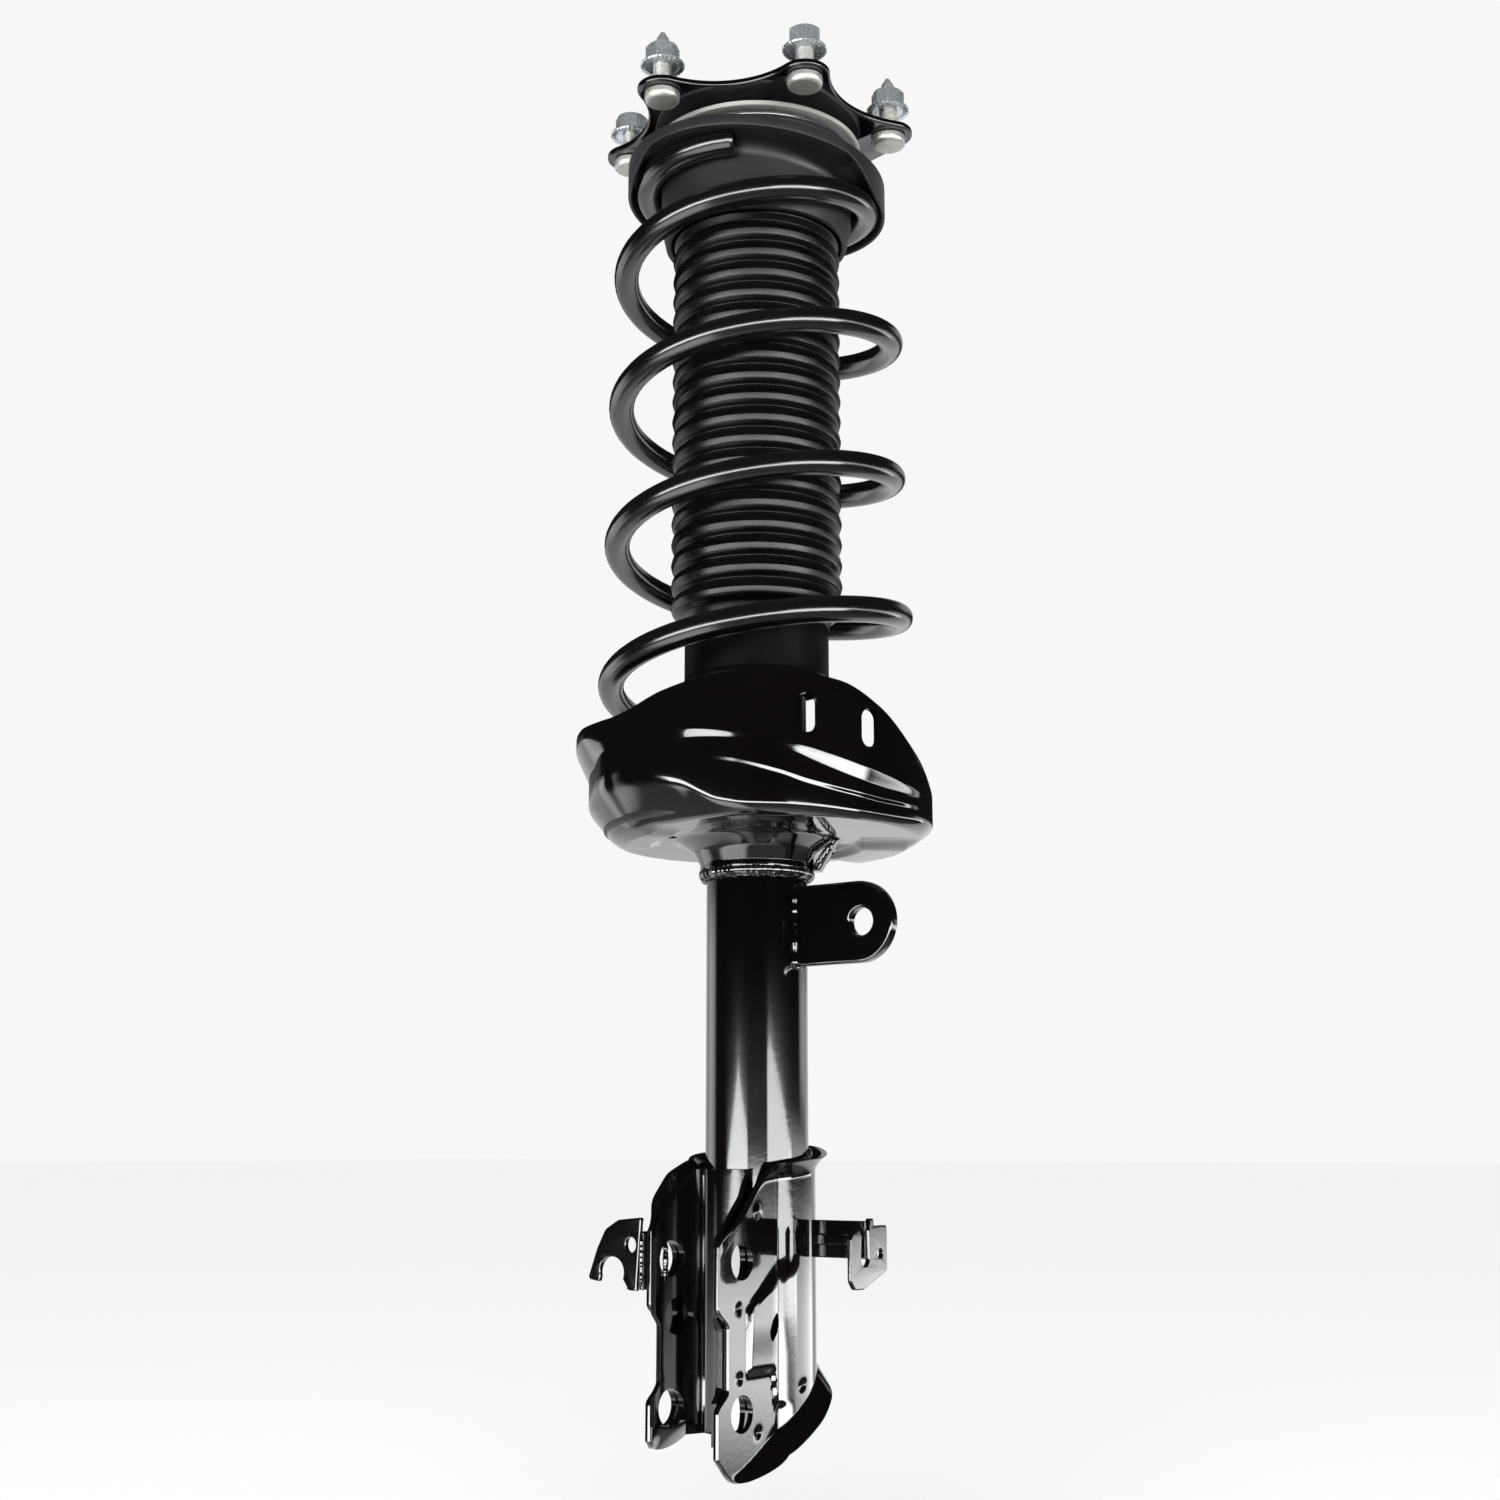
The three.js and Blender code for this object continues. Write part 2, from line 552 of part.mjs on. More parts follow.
function addLinkTab() {
  const half = TAB_HEIGHT / 2;
  const shape = new THREE.Shape();
  shape.moveTo(TUBE_RADIUS + GAP, TAB_CENTRE_Z - half);
  shape.lineTo(TAB_LENGTH - half, TAB_CENTRE_Z - half);
  shape.absarc(TAB_LENGTH - half, TAB_CENTRE_Z, half, -Math.PI / 2, Math.PI / 2, false);
  shape.lineTo(TUBE_RADIUS + GAP, TAB_CENTRE_Z + half);
  shape.holes.push(new THREE.Path().absarc(TAB_HOLE_X, TAB_CENTRE_Z, TAB_HOLE_RADIUS, 0, FULL_TURN, true));
  addPart('stabiliser_link_tab', extrudeAlongY(shape, -TAB_THICKNESS / 2, TAB_THICKNESS / 2, 8), gloss);
}

// Knuckle bracket: a pressing wrapped round the back of the tube with an ear on each side,
// its top and bottom edges flared outwards

const EAR_OUTER = CLEVIS_GAP / 2 + 2 * EAR_SHEET;
const WRAP_RADIUS = TUBE_RADIUS + GAP + EAR_SHEET;
const WRAP_END_Y = -16.5;
const FLARE = 6;

// Edge heights along the pressing, by distance from the back centre: far ear negative, near ear positive
const BRACKET_TOP = [
  [-105, -585], [-98, -577], [-88, -565], [-78, -556], [-45, -547], [0, -543],
  [40, -549.5], [62, -551.5], [72, -552.5], [82, -559.5], [108, -587.6], [112, -591.3],
];
const BRACKET_BOTTOM = [
  [-105, -677], [-98, -682], [-86, -684], [-58, -676], [-30, -655], [0, -648],
  [30, -660], [45, -672], [62, -684], [78, -690.5], [88, -693], [97, -694.3], [107, -684.5], [112, -680.3],
];
const NEAR_LENGTH = 109.5;
const FAR_LENGTH = 102.5;

// Plan of the pressing's outer face and its outward direction, by distance from the back centre
function bracketPlan(distance) {
  const wrapAngle = Math.PI / 2 + Math.asin(-WRAP_END_Y / WRAP_RADIUS);
  const wrapLength = wrapAngle * WRAP_RADIUS;
  const side = Math.sign(distance) || 1;
  const along = Math.abs(distance);
  if (along <= wrapLength) {
    const angle = along / WRAP_RADIUS;
    return { x: side * WRAP_RADIUS * Math.sin(angle), y: WRAP_RADIUS * Math.cos(angle),
      outX: side * Math.sin(angle), outY: Math.cos(angle) };
  }
  return { x: side * EAR_OUTER, y: WRAP_END_Y - (along - wrapLength), outX: side, outY: 0 };
}

function addKnuckleBracket() {
  const columns = 37;
  const rows = 7;
  const surface = (column, row, offset) => {
    const distance = NEAR_LENGTH - ((FAR_LENGTH + NEAR_LENGTH) * column) / (columns - 1);
    const plan = bracketPlan(distance);
    const top = heightAt(BRACKET_TOP, distance);
    const bottom = heightAt(BRACKET_BOTTOM, distance);
    const heights = [bottom, bottom + 3, bottom + 9, (bottom + top) / 2, top - 9, top - 3, top];
    const flares = [FLARE, 2.5, 0, 0, 0, 2.5, FLARE];
    const free = Math.min(distance + FAR_LENGTH, NEAR_LENGTH - distance);
    const out = flares[row] * ramp(free, 2, 14) - offset;
    return [plan.x + plan.outX * out, plan.y + plan.outY * out, heights[row]];
  };
  const waist = (y) => polygon([
    [y, -617], [y + 8, -626], [y + 8, -653], [y, -662], [-90, -662], [-90, -617],
  ]);
  const farEdge = -60.3;
  const nearEdge = -67.3;
  const bolts = BOLT_HEIGHTS.map((z) => {
    const bore = rod(BOLT_HOLE_RADIUS, -40, 40, 14);
    bore.rotateY(Math.PI / 2);
    return bore.translate(0, BOLT_Y, z);
  });
  const farWaist = extrudeAlongX(waist(farEdge), -40, 0);
  const nearWaist = extrudeAlongX(waist(nearEdge + 3), 0, 40);
  const pressing = sheet(surface, columns, rows, EAR_SHEET, false);
  addPart('knuckle_bracket', cut(pressing, farWaist, nearWaist, ...bolts), gloss);

  // Inner channel: two legs inside the ears, joined by a web that wraps the front of the tube
  const leg = CLEVIS_GAP / 2;
  const legOutside = leg + CHANNEL_SHEET;
  const nearLegEnd = -60.5;
  const farLegEnd = -56.5;
  const wrap = (radius) => [-60, -72, -84, -96, -108, -120].map((degrees) => polar(radius, degrees));
  const inside = [
    [leg, nearLegEnd], [leg, -40.5], ...wrap(CHANNEL_WRAP + CHANNEL_SHEET),
    [-leg, -40.5], [-leg, farLegEnd],
  ];
  const outside = [
    [legOutside, nearLegEnd], [legOutside, -38.5], [16.3, -23.6], ...wrap(CHANNEL_WRAP).slice(1, -1),
    [-16.3, -23.6], [-legOutside, -38.5], [-legOutside, farLegEnd],
  ];
  const channel = extrude(polygon([...inside, ...outside.reverse()]), -677, -555);
  const nearTrim = extrudeAlongX(polygon([
    [-28, -540], [-90, -540], [-90, -597], [-70, -597], [-36, -562.5], [-28, -557],
  ]), 0, 40);
  const farTrim = extrudeAlongX(polygon([[-27, -540], [-90, -540], [-90, -640], [-61, -589]]), -40, 0);
  addPart('bracket_reinforcement', cut(channel, farWaist, nearWaist, nearTrim, farTrim, ...bolts), gloss);
}

// Hose and sensor cable holders

function addHoseBracket() {
  const shape = new THREE.Shape();
  const outer = -EAR_OUTER - GAP;
  shape.moveTo(outer, -577);
  shape.lineTo(-43, -580);
  shape.lineTo(-50, -586);
  shape.lineTo(-58.5, -606.5);
  shape.lineTo(-51.5, -607.5);
  shape.absarc(-43.5, -603, 7.3, Math.PI + 0.25, -0.4, true);
  shape.lineTo(-34.5, -610);
  shape.lineTo(outer, -611);
  shape.holes.push(new THREE.Path().absarc(-32, -590, 3, 0, FULL_TURN, true));
  const hook = extrudeAlongY(shape, -58.5, -56, 5);
  const foot = new THREE.BoxGeometry(2.5, 4.5, 27);
  foot.translate(outer - 1.25, -56.25, -597);
  addPart('brake_hose_bracket', join(hook, foot), gloss);
}

function addSensorBracket() {
  const strap = new THREE.BoxGeometry(33, 2.5, 18);
  strap.translate(45.9, 5, -587.5);
  const plate = new THREE.Shape();
  plate.moveTo(-11.5, -586);
  plate.lineTo(-11.5, -606);
  plate.lineTo(-8, -610);
  plate.lineTo(-1, -610);
  plate.lineTo(20, -602);
  plate.lineTo(20, -581);
  plate.lineTo(4, -581);
  plate.absarc(0.5, -596, 3.5, 0, Math.PI, true);
  plate.lineTo(-3, -586);
  addPart('sensor_cable_bracket', join(extrudeAlongX(plate, 60, 62.5), strap), gloss);
}

addTopMount();
addBearing();
addUpperSeat();
addDustBoot();
addSpring();
addRodGroup();
addTube();
addSpringSeat();
addLinkTab();
addKnuckleBracket();
addHoseBracket();
addSensorBracket();

export default assembly;
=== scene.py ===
import json
import math

import bmesh
import bpy
import numpy as np
from mathutils import Matrix, Vector, noise


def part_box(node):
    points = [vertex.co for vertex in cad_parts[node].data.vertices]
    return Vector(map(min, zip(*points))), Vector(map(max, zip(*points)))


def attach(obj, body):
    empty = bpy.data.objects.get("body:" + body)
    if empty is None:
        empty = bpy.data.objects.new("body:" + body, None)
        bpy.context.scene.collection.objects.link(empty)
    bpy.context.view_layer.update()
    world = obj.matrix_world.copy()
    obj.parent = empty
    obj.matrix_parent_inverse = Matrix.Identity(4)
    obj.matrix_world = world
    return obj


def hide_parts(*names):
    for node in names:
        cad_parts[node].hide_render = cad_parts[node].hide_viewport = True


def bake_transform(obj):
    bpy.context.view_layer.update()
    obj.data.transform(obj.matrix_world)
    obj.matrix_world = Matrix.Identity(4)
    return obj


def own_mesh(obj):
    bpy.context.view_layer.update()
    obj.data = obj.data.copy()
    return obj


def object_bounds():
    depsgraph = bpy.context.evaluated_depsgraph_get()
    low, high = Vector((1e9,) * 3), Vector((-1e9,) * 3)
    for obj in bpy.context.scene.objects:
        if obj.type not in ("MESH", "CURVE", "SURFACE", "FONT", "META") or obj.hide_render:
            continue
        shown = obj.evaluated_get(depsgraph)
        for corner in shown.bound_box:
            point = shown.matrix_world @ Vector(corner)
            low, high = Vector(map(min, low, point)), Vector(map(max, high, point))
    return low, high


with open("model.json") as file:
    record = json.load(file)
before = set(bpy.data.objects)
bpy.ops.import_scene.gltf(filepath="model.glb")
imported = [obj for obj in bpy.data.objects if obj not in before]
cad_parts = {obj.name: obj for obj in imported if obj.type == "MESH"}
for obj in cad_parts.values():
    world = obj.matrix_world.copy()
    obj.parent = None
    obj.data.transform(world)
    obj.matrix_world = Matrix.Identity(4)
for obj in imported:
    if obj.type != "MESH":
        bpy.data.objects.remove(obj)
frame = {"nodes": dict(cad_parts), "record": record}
cad_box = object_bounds()

# The finish of a car suspension strut. Shapes are worked out in millimetres and stored in metres.
MM = 0.001
FULL_TURN = 2 * math.pi

# Turns that stand an outline drawn flat on XY upright, facing along X or along Y
FACE_X = Matrix(((0, 0, 1, 0), (1, 0, 0, 0), (0, 1, 0, 0), (0, 0, 0, 1)))
FACE_Y = Matrix(((1, 0, 0, 0), (0, 0, 1, 0), (0, 1, 0, 0), (0, 0, 0, 1)))
BODY_OF = {
    node: body for body, nodes in frame["record"]["behaviour"]["bodies"].items() for node in nodes
}


def limits(node):
    low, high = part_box(node)
    return low / MM, high / MM


def radius_of(node):
    low, high = limits(node)
    return (high.x - low.x) / 2


def polar(radius, degrees, z=0.0):
    angle = math.radians(degrees)
    return Vector((radius * math.cos(angle), radius * math.sin(angle), z))


def ramp(value, start, end):
    share = min(1.0, max(0.0, (value - start) / (end - start)))
    return share * share * (3 - 2 * share)


def along(table, place):
    """A smooth curve through (place, value) pairs, flat beyond its ends."""
    places = [row[0] for row in table]
    values = [row[1] for row in table]
    if place <= places[0]:
        return values[0]
    if place >= places[-1]:
        return values[-1]
    index = next(i for i in range(len(places) - 1) if place <= places[i + 1])
    width = places[index + 1] - places[index]

    def slope(i):
        if i in (0, len(places) - 1):
            return 0.0
        before = (values[i] - values[i - 1]) / (places[i] - places[i - 1])
        after = (values[i + 1] - values[i]) / (places[i + 1] - places[i])
        return 0.0 if before * after <= 0 else 2 * before * after / (before + after)

    t = (place - places[index]) / width
    start = (1 + 2 * t) * (1 - t) ** 2 * values[index] + t * (1 - t) ** 2 * width * slope(index)
    end = t * t * (3 - 2 * t) * values[index + 1] + t * t * (t - 1) * width * slope(index + 1)
    return start + end


# Outlines


def rounded(corners, closed=True, steps=5):
    """An outline with each corner (x, y, radius) turned into an arc of so many steps."""
    outline = []
    for index, corner in enumerate(corners):
        here = Vector(corner[:2])
        radius = corner[2] if len(corner) > 2 else 0
        at_end = not closed and index in (0, len(corners) - 1)
        if radius == 0 or at_end:
            outline.append((here.x, here.y))
            continue
        to_last = Vector(corners[index - 1][:2]) - here
        to_next = Vector(corners[(index + 1) % len(corners)][:2]) - here
        half = to_last.angle(to_next, math.pi) / 2
        room = 0.49 * min(to_last.length, to_next.length)
        reach = min(radius / math.tan(half), room)
        to_last.normalize()
        to_next.normalize()
        if half > 1.55:
            spread = min(0.2 * radius, room)
            for step in range(steps + 1):
                share = 2 * step / steps - 1
                place = here + (to_next if share > 0 else to_last) * abs(share) * spread
                outline.append((place.x, place.y))
            continue
        radius = reach * math.tan(half)
        centre = here + (to_last + to_next).normalized() * (radius / math.sin(half))
        first = here + to_last * reach - centre
        last = here + to_next * reach - centre
        start = math.atan2(first.y, first.x)
        sweep = math.atan2(first.cross(last), first.dot(last))
        for step in range(steps + 1):
            angle = start + sweep * step / steps
            outline.append((centre.x + radius * math.cos(angle), centre.y + radius * math.sin(angle)))
    return outline


def inset(corners, depth):
    """An open outline of corners moved to its right, keeping its roundings parallel."""
    moved = []
    for index, (x, y, radius) in enumerate(corners):
        before = corners[max(index - 1, 0)]
        after = corners[min(index + 1, len(corners) - 1)]
        into = Vector((x - before[0], y - before[1]))
        away = Vector((after[0] - x, after[1] - y))
        into = (into if index else away).normalized()
        away = (away if index + 1 < len(corners) else into).normalized()
        side = Vector((into.y + away.y, -into.x - away.x)) / (1 + into.dot(away))
        turn = depth if into.cross(away) > 0 else -depth
        moved.append((x + side.x * depth, y + side.y * depth, max(radius + turn, 0.4) if radius else 0))
    return moved


def circle(radius, centre=(0, 0), steps=32, stretch=0.0):
    """A round outline, or a slot when stretched along its second axis."""
    outline = []
    for step in range(steps):
        angle = FULL_TURN * (step + 0.5) / steps
        shift = math.copysign(stretch / 2, math.sin(angle))
        outline.append((centre[0] + radius * math.cos(angle), centre[1] + radius * math.sin(angle) + shift))
    return outline


def arc(radius, start, end, count, centre=(0, 0)):
    """Points of an open arc between two angles in radians."""
    angles = np.linspace(start, end, count)
    return [(centre[0] + radius * math.cos(a), centre[1] + radius * math.sin(a)) for a in angles]


def hexagon_radius(across_flats, angle):
    return across_flats / 2 / math.cos((angle + math.pi / 6) % (math.pi / 3) - math.pi / 6)


# Meshes


def solid(name, points, faces, smooth=32):
    """A closed mesh piece from points in millimetres, its faces turned outwards."""
    mesh = bpy.data.meshes.new(name)
    mesh.from_pydata((np.asarray(points, float) * MM).tolist(), [], faces)
    work = bmesh.new()
    work.from_mesh(mesh)
    bmesh.ops.remove_doubles(work, verts=work.verts, dist=1e-6)
    bmesh.ops.recalc_face_normals(work, faces=work.faces)
    work.to_mesh(mesh)
    work.free()
    piece = bpy.data.objects.new(name, mesh)
    bpy.context.scene.collection.objects.link(piece)
    shade(piece, smooth)
    return piece


def shade(piece, degrees=32):
    mesh = piece.data
    mesh.polygons.foreach_set("use_smooth", [True] * len(mesh.polygons))
    mesh.set_sharp_from_angle(angle=math.radians(degrees))


def loft(name, rings, closed=False, smooth=32):
    """Skins a stack of rings that hold the same number of points."""
    count = len(rings[0])
    levels = len(rings)
    points = [tuple(point) for ring in rings for point in ring]
    faces = []
    for level in range(levels if closed else levels - 1):
        low = level * count
        high = ((level + 1) % levels) * count
        for index in range(count):
            turn = (index + 1) % count
            faces.append((low + index, low + turn, high + turn, high + index))
    if not closed:
        faces.append(tuple(reversed(range(count))))
        faces.append(tuple(range((levels - 1) * count, levels * count)))
    return solid(name, points, faces, smooth)


def ring_of(steps, place):
    """A ring of points about Z; place(angle) gives the radius and height of each."""
    ring = []
    for step in range(steps):
        angle = FULL_TURN * step / steps
        radius, z = place(angle)
        ring.append((radius * math.cos(angle), radius * math.sin(angle), z))
    return ring


def lathe(name, profile, steps=96, closed=True, shape=None, smooth=32):
    """Turns a (radius, z) profile about Z; shape(radius, z, angle) may move each point."""
    shape = shape or (lambda radius, z, angle: (radius, z))
    rings = [
        ring_of(steps, lambda angle: shape(radius, z, angle)) for radius, z in profile
    ]
    return loft(name, rings, closed, smooth)


def sweep(name, path, outward, radii, sides=12, closed=False, flatten=1.0):
    """A round bar along a path; outward gives each station's side direction."""
    rings = []
    count = len(path)
    for index, place in enumerate(path):
        after = path[(index + 1) % count] if closed or index + 1 < count else place
        before = path[index - 1] if closed or index else place
        tangent = (after - before).normalized()
        side = (outward[index] - tangent * outward[index].dot(tangent)).normalized()
        up = tangent.cross(side)
        ring = []
        for step in range(sides):
            angle = FULL_TURN * step / sides
            ring.append(place + radii[index] * (side * math.cos(angle) * flatten + up * math.sin(angle)))
        rings.append(ring)
    return loft(name, rings, closed)


def prism(name, outline, low, high, chamfer=0.0, turn=Matrix()):
    """A bar of one outline, its ends widened by the chamfer, for cutting holes."""
    middle = sum((Vector(point) for point in outline), Vector((0, 0))) / len(outline)
    reach = max((Vector(point) - middle).length for point in outline)
    grow = 1 + chamfer / reach
    rings = []
    levels = [(low, 1.0), (high, 1.0)]
    if chamfer:
        levels = [(low - 1, grow), (low, grow), (low + chamfer, 1.0), (high - chamfer, 1.0),
                  (high, grow), (high + 1, grow)]
    for z, scale in levels:
        ring = [middle + (Vector(point) - middle) * scale for point in outline]
        rings.append([turn @ Vector((point.x, point.y, z)) for point in ring])
    return loft(name, rings)


def cut(piece, *cutters):
    """Takes the cutters' shapes out of a piece and removes the cutters."""
    for cutter in cutters:
        modifier = piece.modifiers.new("cut", "BOOLEAN")
        modifier.operation = "DIFFERENCE"
        modifier.solver = "EXACT"
        modifier.object = cutter
    bake(piece)
    for cutter in cutters:
        bpy.data.objects.remove(cutter)
    shade(piece)
    return piece


def soften(piece, width, degrees=50, segments=3):
    """Rounds a piece's sharp edges, in millimetres."""
    modifier = piece.modifiers.new("soften", "BEVEL")
    modifier.width = width * MM
    modifier.segments = segments
    modifier.limit_method = "ANGLE"
    modifier.angle_limit = math.radians(degrees)
    modifier.harden_normals = False
    bake(piece)
    shade(piece, 40)
    return piece


def even(piece):
    """Keeps flat faces flat in the shading, so only the rounded edges between them bend."""
    modifier = piece.modifiers.new("even", "WEIGHTED_NORMAL")
    modifier.weight = 100
    modifier.keep_sharp = True
    bake(piece)
    return piece


def bake(piece):
    graph = bpy.context.evaluated_depsgraph_get()
    graph.update()
    mesh = bpy.data.meshes.new_from_object(piece.evaluated_get(graph))
    piece.modifiers.clear()
    piece.data = mesh


def plate(name, outline, holes, low, high, edge=0.8, turn=Matrix()):
    """A flat plate between two levels with rounded edges, turned into place by a matrix."""
    curve = bpy.data.curves.new(name, "CURVE")
    curve.dimensions = "2D"
    curve.fill_mode = "BOTH"
    curve.extrude = (high - low) / 2 - edge
    curve.bevel_depth = edge
    curve.bevel_resolution = 2
    curve.offset = -edge
    for loop in [outline, *holes]:
        spline = curve.splines.new("POLY")
        spline.points.add(len(loop) - 1)
        for point, place in zip(spline.points, loop):
            point.co = (place[0], place[1], 0, 1)
        spline.use_cyclic_u = True
    holder = bpy.data.objects.new(name + "_curve", curve)
    bpy.context.scene.collection.objects.link(holder)
    graph = bpy.context.evaluated_depsgraph_get()
    graph.update()
    mesh = bpy.data.meshes.new_from_object(holder.evaluated_get(graph))
    bpy.data.objects.remove(holder)
    points = [turn @ (vertex.co + Vector((0, 0, (low + high) / 2))) for vertex in mesh.vertices]
    faces = [tuple(polygon.vertices) for polygon in mesh.polygons]
    piece = solid(name, points, faces, 40)
    bpy.data.meshes.remove(mesh)
    return piece


def sheet(name, surface, columns, rows, is_round):
    """A pressed sheet: surface(across, down, depth) gives its outer face at depth 0, inner at 1."""
    spans = columns if is_round else columns - 1
    points = []
    for depth in (0, 1):
        for column in range(columns):
            points += [surface(column / spans, row / (rows - 1), depth) for row in range(rows)]
    faces = []

    def at(depth, column, row):
        return (depth * columns + column % columns) * rows + row

    for column in range(spans):
        after = column + 1
        for row in range(rows - 1):
            below = row + 1
            faces.append((at(0, column, row), at(0, after, row), at(0, after, below), at(0, column, below)))
            faces.append((at(1, column, row), at(1, column, below), at(1, after, below), at(1, after, row)))
        for row in (0, rows - 1):
            faces.append((at(0, column, row), at(1, column, row), at(1, after, row), at(0, after, row)))
    if not is_round:
        for column in (0, columns - 1):
            for row in range(rows - 1):
                faces.append((at(0, column, row), at(0, column, row + 1),
                              at(1, column, row + 1), at(1, column, row)))
    return solid(name, points, faces, 40)


def weld(name, path, outward, width, body="strut_body", ripple=2.6, closed=False, flatten=0.8):
    """A weld bead: an uneven, rippled bar along a path, tapered at its ends unless closed."""
    radii = []
    length = 0.0
    total = sum((b - a).length for a, b in zip(path, path[1:]))
    for index, place in enumerate(path):
        if index:
            length += (place - path[index - 1]).length
        lump = 1 + 0.28 * noise.noise(place * 0.23) + 0.12 * noise.noise(place * 0.9)
        wave = 1 + 0.07 * math.sin(FULL_TURN * length / ripple)
        taper = 1.0 if closed else math.sqrt(min(1.0, min(length, total - length) / width + 0.02))
        radii.append(width / 2 * lump * wave * taper)
    piece = sweep(name, path, outward, radii, 14, closed, flatten)
    paint(piece, "black_enamel")
    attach(piece, body)
    return piece


def line(start, end, step=0.8):
    count = max(2, round((end - start).length / step))
    return [start.lerp(end, index / count) for index in range(count + 1)]


# Finishes


class Finish:
    """A node-based material under construction."""

    def __init__(self, slot, **values):
        self.material = bpy.data.materials.new(slot)
        self.material.use_nodes = True
        self.tree = self.material.node_tree
        self.shader = self.tree.nodes["Principled BSDF"]
        names = {"metallic": "Metallic", "coat": "Coat Weight", "coat_roughness": "Coat Roughness",
                 "ior": "IOR", "specular": "Specular IOR Level", "sheen": "Sheen Weight"}
        for name, value in values.items():
            self.shader.inputs[names[name]].default_value = value

    def node(self, kind, **links):
        made = self.tree.nodes.new(kind)
        for name, value in links.items():
            socket = made.inputs[name.replace("_", " ")]
            if isinstance(value, bpy.types.NodeSocket):
                self.tree.links.new(value, socket)
            else:
                socket.default_value = value
        return made

    def pattern(self, scale, detail=None, stretch=(1, 1, 1)):
        """Noise of a scale and detail, or foam cells when only the scale is given."""
        place = self.node("ShaderNodeTexCoord").outputs["Object"]
        if detail is None:
            return self.node("ShaderNodeTexVoronoi", Vector=place, Scale=scale).outputs["Distance"]
        mapped = self.node("ShaderNodeMapping", Vector=place, Scale=stretch).outputs["Vector"]
        return self.node("ShaderNodeTexNoise", Vector=mapped, Scale=scale, Detail=detail).outputs["Fac"]

    def spread(self, value, low, high, start=0.3, end=0.7):
        made = self.node("ShaderNodeMapRange", Value=value, From_Min=start, From_Max=end,
                         To_Min=low, To_Max=high)
        return made.outputs["Result"]

    def mix(self, value, first, second):
        made = self.node("ShaderNodeMix")
        made.data_type = "RGBA"
        self.tree.links.new(value, made.inputs[0])
        made.inputs[6].default_value = (*first, 1)
        made.inputs[7].default_value = (*second, 1)
        return made.outputs[2]

    def color(self, value, first, second):
        self.tree.links.new(self.mix(value, first, second), self.shader.inputs["Base Color"])

    def roughness(self, value, low, high):
        self.tree.links.new(self.spread(value, low, high), self.shader.inputs["Roughness"])

    def bump(self, *layers):
        """Layers are (value, height in millimetres) pairs."""
        normal = None
        for value, height in layers:
            made = self.node("ShaderNodeBump", Height=value, Distance=height * MM, Strength=1.0)
            if normal:
                self.tree.links.new(normal, made.inputs["Normal"])
            normal = made.outputs["Normal"]
        self.tree.links.new(normal, self.shader.inputs["Normal"])


ENAMEL = {"coat": 0.5, "coat_roughness": 0.03, "ior": 1.5}
SPRING_COAT = {"coat": 0.3, "coat_roughness": 0.2, "ior": 1.5}

# For each slot: shader values, colour (pattern, dark, light), roughness (pattern, low, high) and
# bump layers (pattern, height in millimetres). A pattern is (scale, detail, stretch).
FINISH_TABLE = {
    "black_enamel": (
        ENAMEL, ((26, 5), (0.0022, 0.0014, 0.0017), (0.0050, 0.0036, 0.0040)),
        ((14, 6), 0.06, 0.13), [((330, 2), 0.018), ((1500, 2), 0.003)]),
    "spring_enamel": (
        SPRING_COAT, ((30, 5), (0.003, 0.0024, 0.0028), (0.0075, 0.0062, 0.0068)),
        ((40, 5), 0.15, 0.21), [((700, 3), 0.003), ((120, 2), 0.004)]),
    "seat_rubber": (
        {"specular": 0.45, "sheen": 0.06}, ((22, 6), (0.004, 0.0038, 0.0039), (0.0095, 0.0090, 0.0092)),
        ((35, 6), 0.42, 0.6), [((1800, 3), 0.03), ((140, 3), 0.06)]),
    "boot_rubber": (
        {"specular": 0.22}, ((40, 6, (1, 1, 0.4)), (0.0022, 0.0018, 0.0020), (0.0052, 0.0046, 0.0050)),
        ((60, 5), 0.24, 0.34), [((1400, 3), 0.02)]),
    "zinc_plate": (
        {"metallic": 0.75}, ((160, 5), (0.56, 0.63, 0.67), (0.80, 0.86, 0.88)),
        ((240, 5), 0.18, 0.30), [((900, 4), 0.004), ((180, 2), 0.006)]),
    "stud_steel": (
        {"metallic": 0.75}, ((200, 5), (0.42, 0.42, 0.39), (0.62, 0.61, 0.57)),
        ((300, 4), 0.4, 0.56), [((1300, 4), 0.04), ((260, 2), 0.04)]),
    "machined_steel": (
        {"metallic": 1.0}, ((120, 4), (0.42, 0.43, 0.44), (0.56, 0.56, 0.55)),
        ((60, 3, (1, 1, 60)), 0.22, 0.4), [((60, 3, (1, 1, 60)), 0.01)]),
    "rod_chrome": (
        {"metallic": 1.0}, ((50, 3), (0.66, 0.67, 0.69), (0.74, 0.75, 0.76)),
        ((90, 4, (1, 1, 20)), 0.05, 0.12), [((400, 2, (1, 1, 12)), 0.002)]),
    "bearing_plastic": (
        {"ior": 1.5}, ((60, 5), (0.52, 0.52, 0.48), (0.63, 0.63, 0.58)),
        ((120, 4), 0.38, 0.52), [((900, 3), 0.03)]),
    "dark_plastic": (
        {"ior": 1.5}, ((60, 5), (0.010, 0.010, 0.011), (0.020, 0.020, 0.021)),
        ((120, 4), 0.4, 0.55), [((1100, 3), 0.03)]),
    "stop_foam": (
        {"specular": 0.3}, ((150, 5), (0.42, 0.34, 0.13), (0.56, 0.47, 0.22)),
        ((900,), 0.75, 0.95), [((900,), 0.25), ((300, 4), 0.2)]),
    "band_bronze": (
        {"metallic": 0.9}, ((150, 4), (0.33, 0.21, 0.10), (0.46, 0.31, 0.16)),
        ((200, 4, (1, 1, 10)), 0.3, 0.48), [((700, 3), 0.02)]),
}


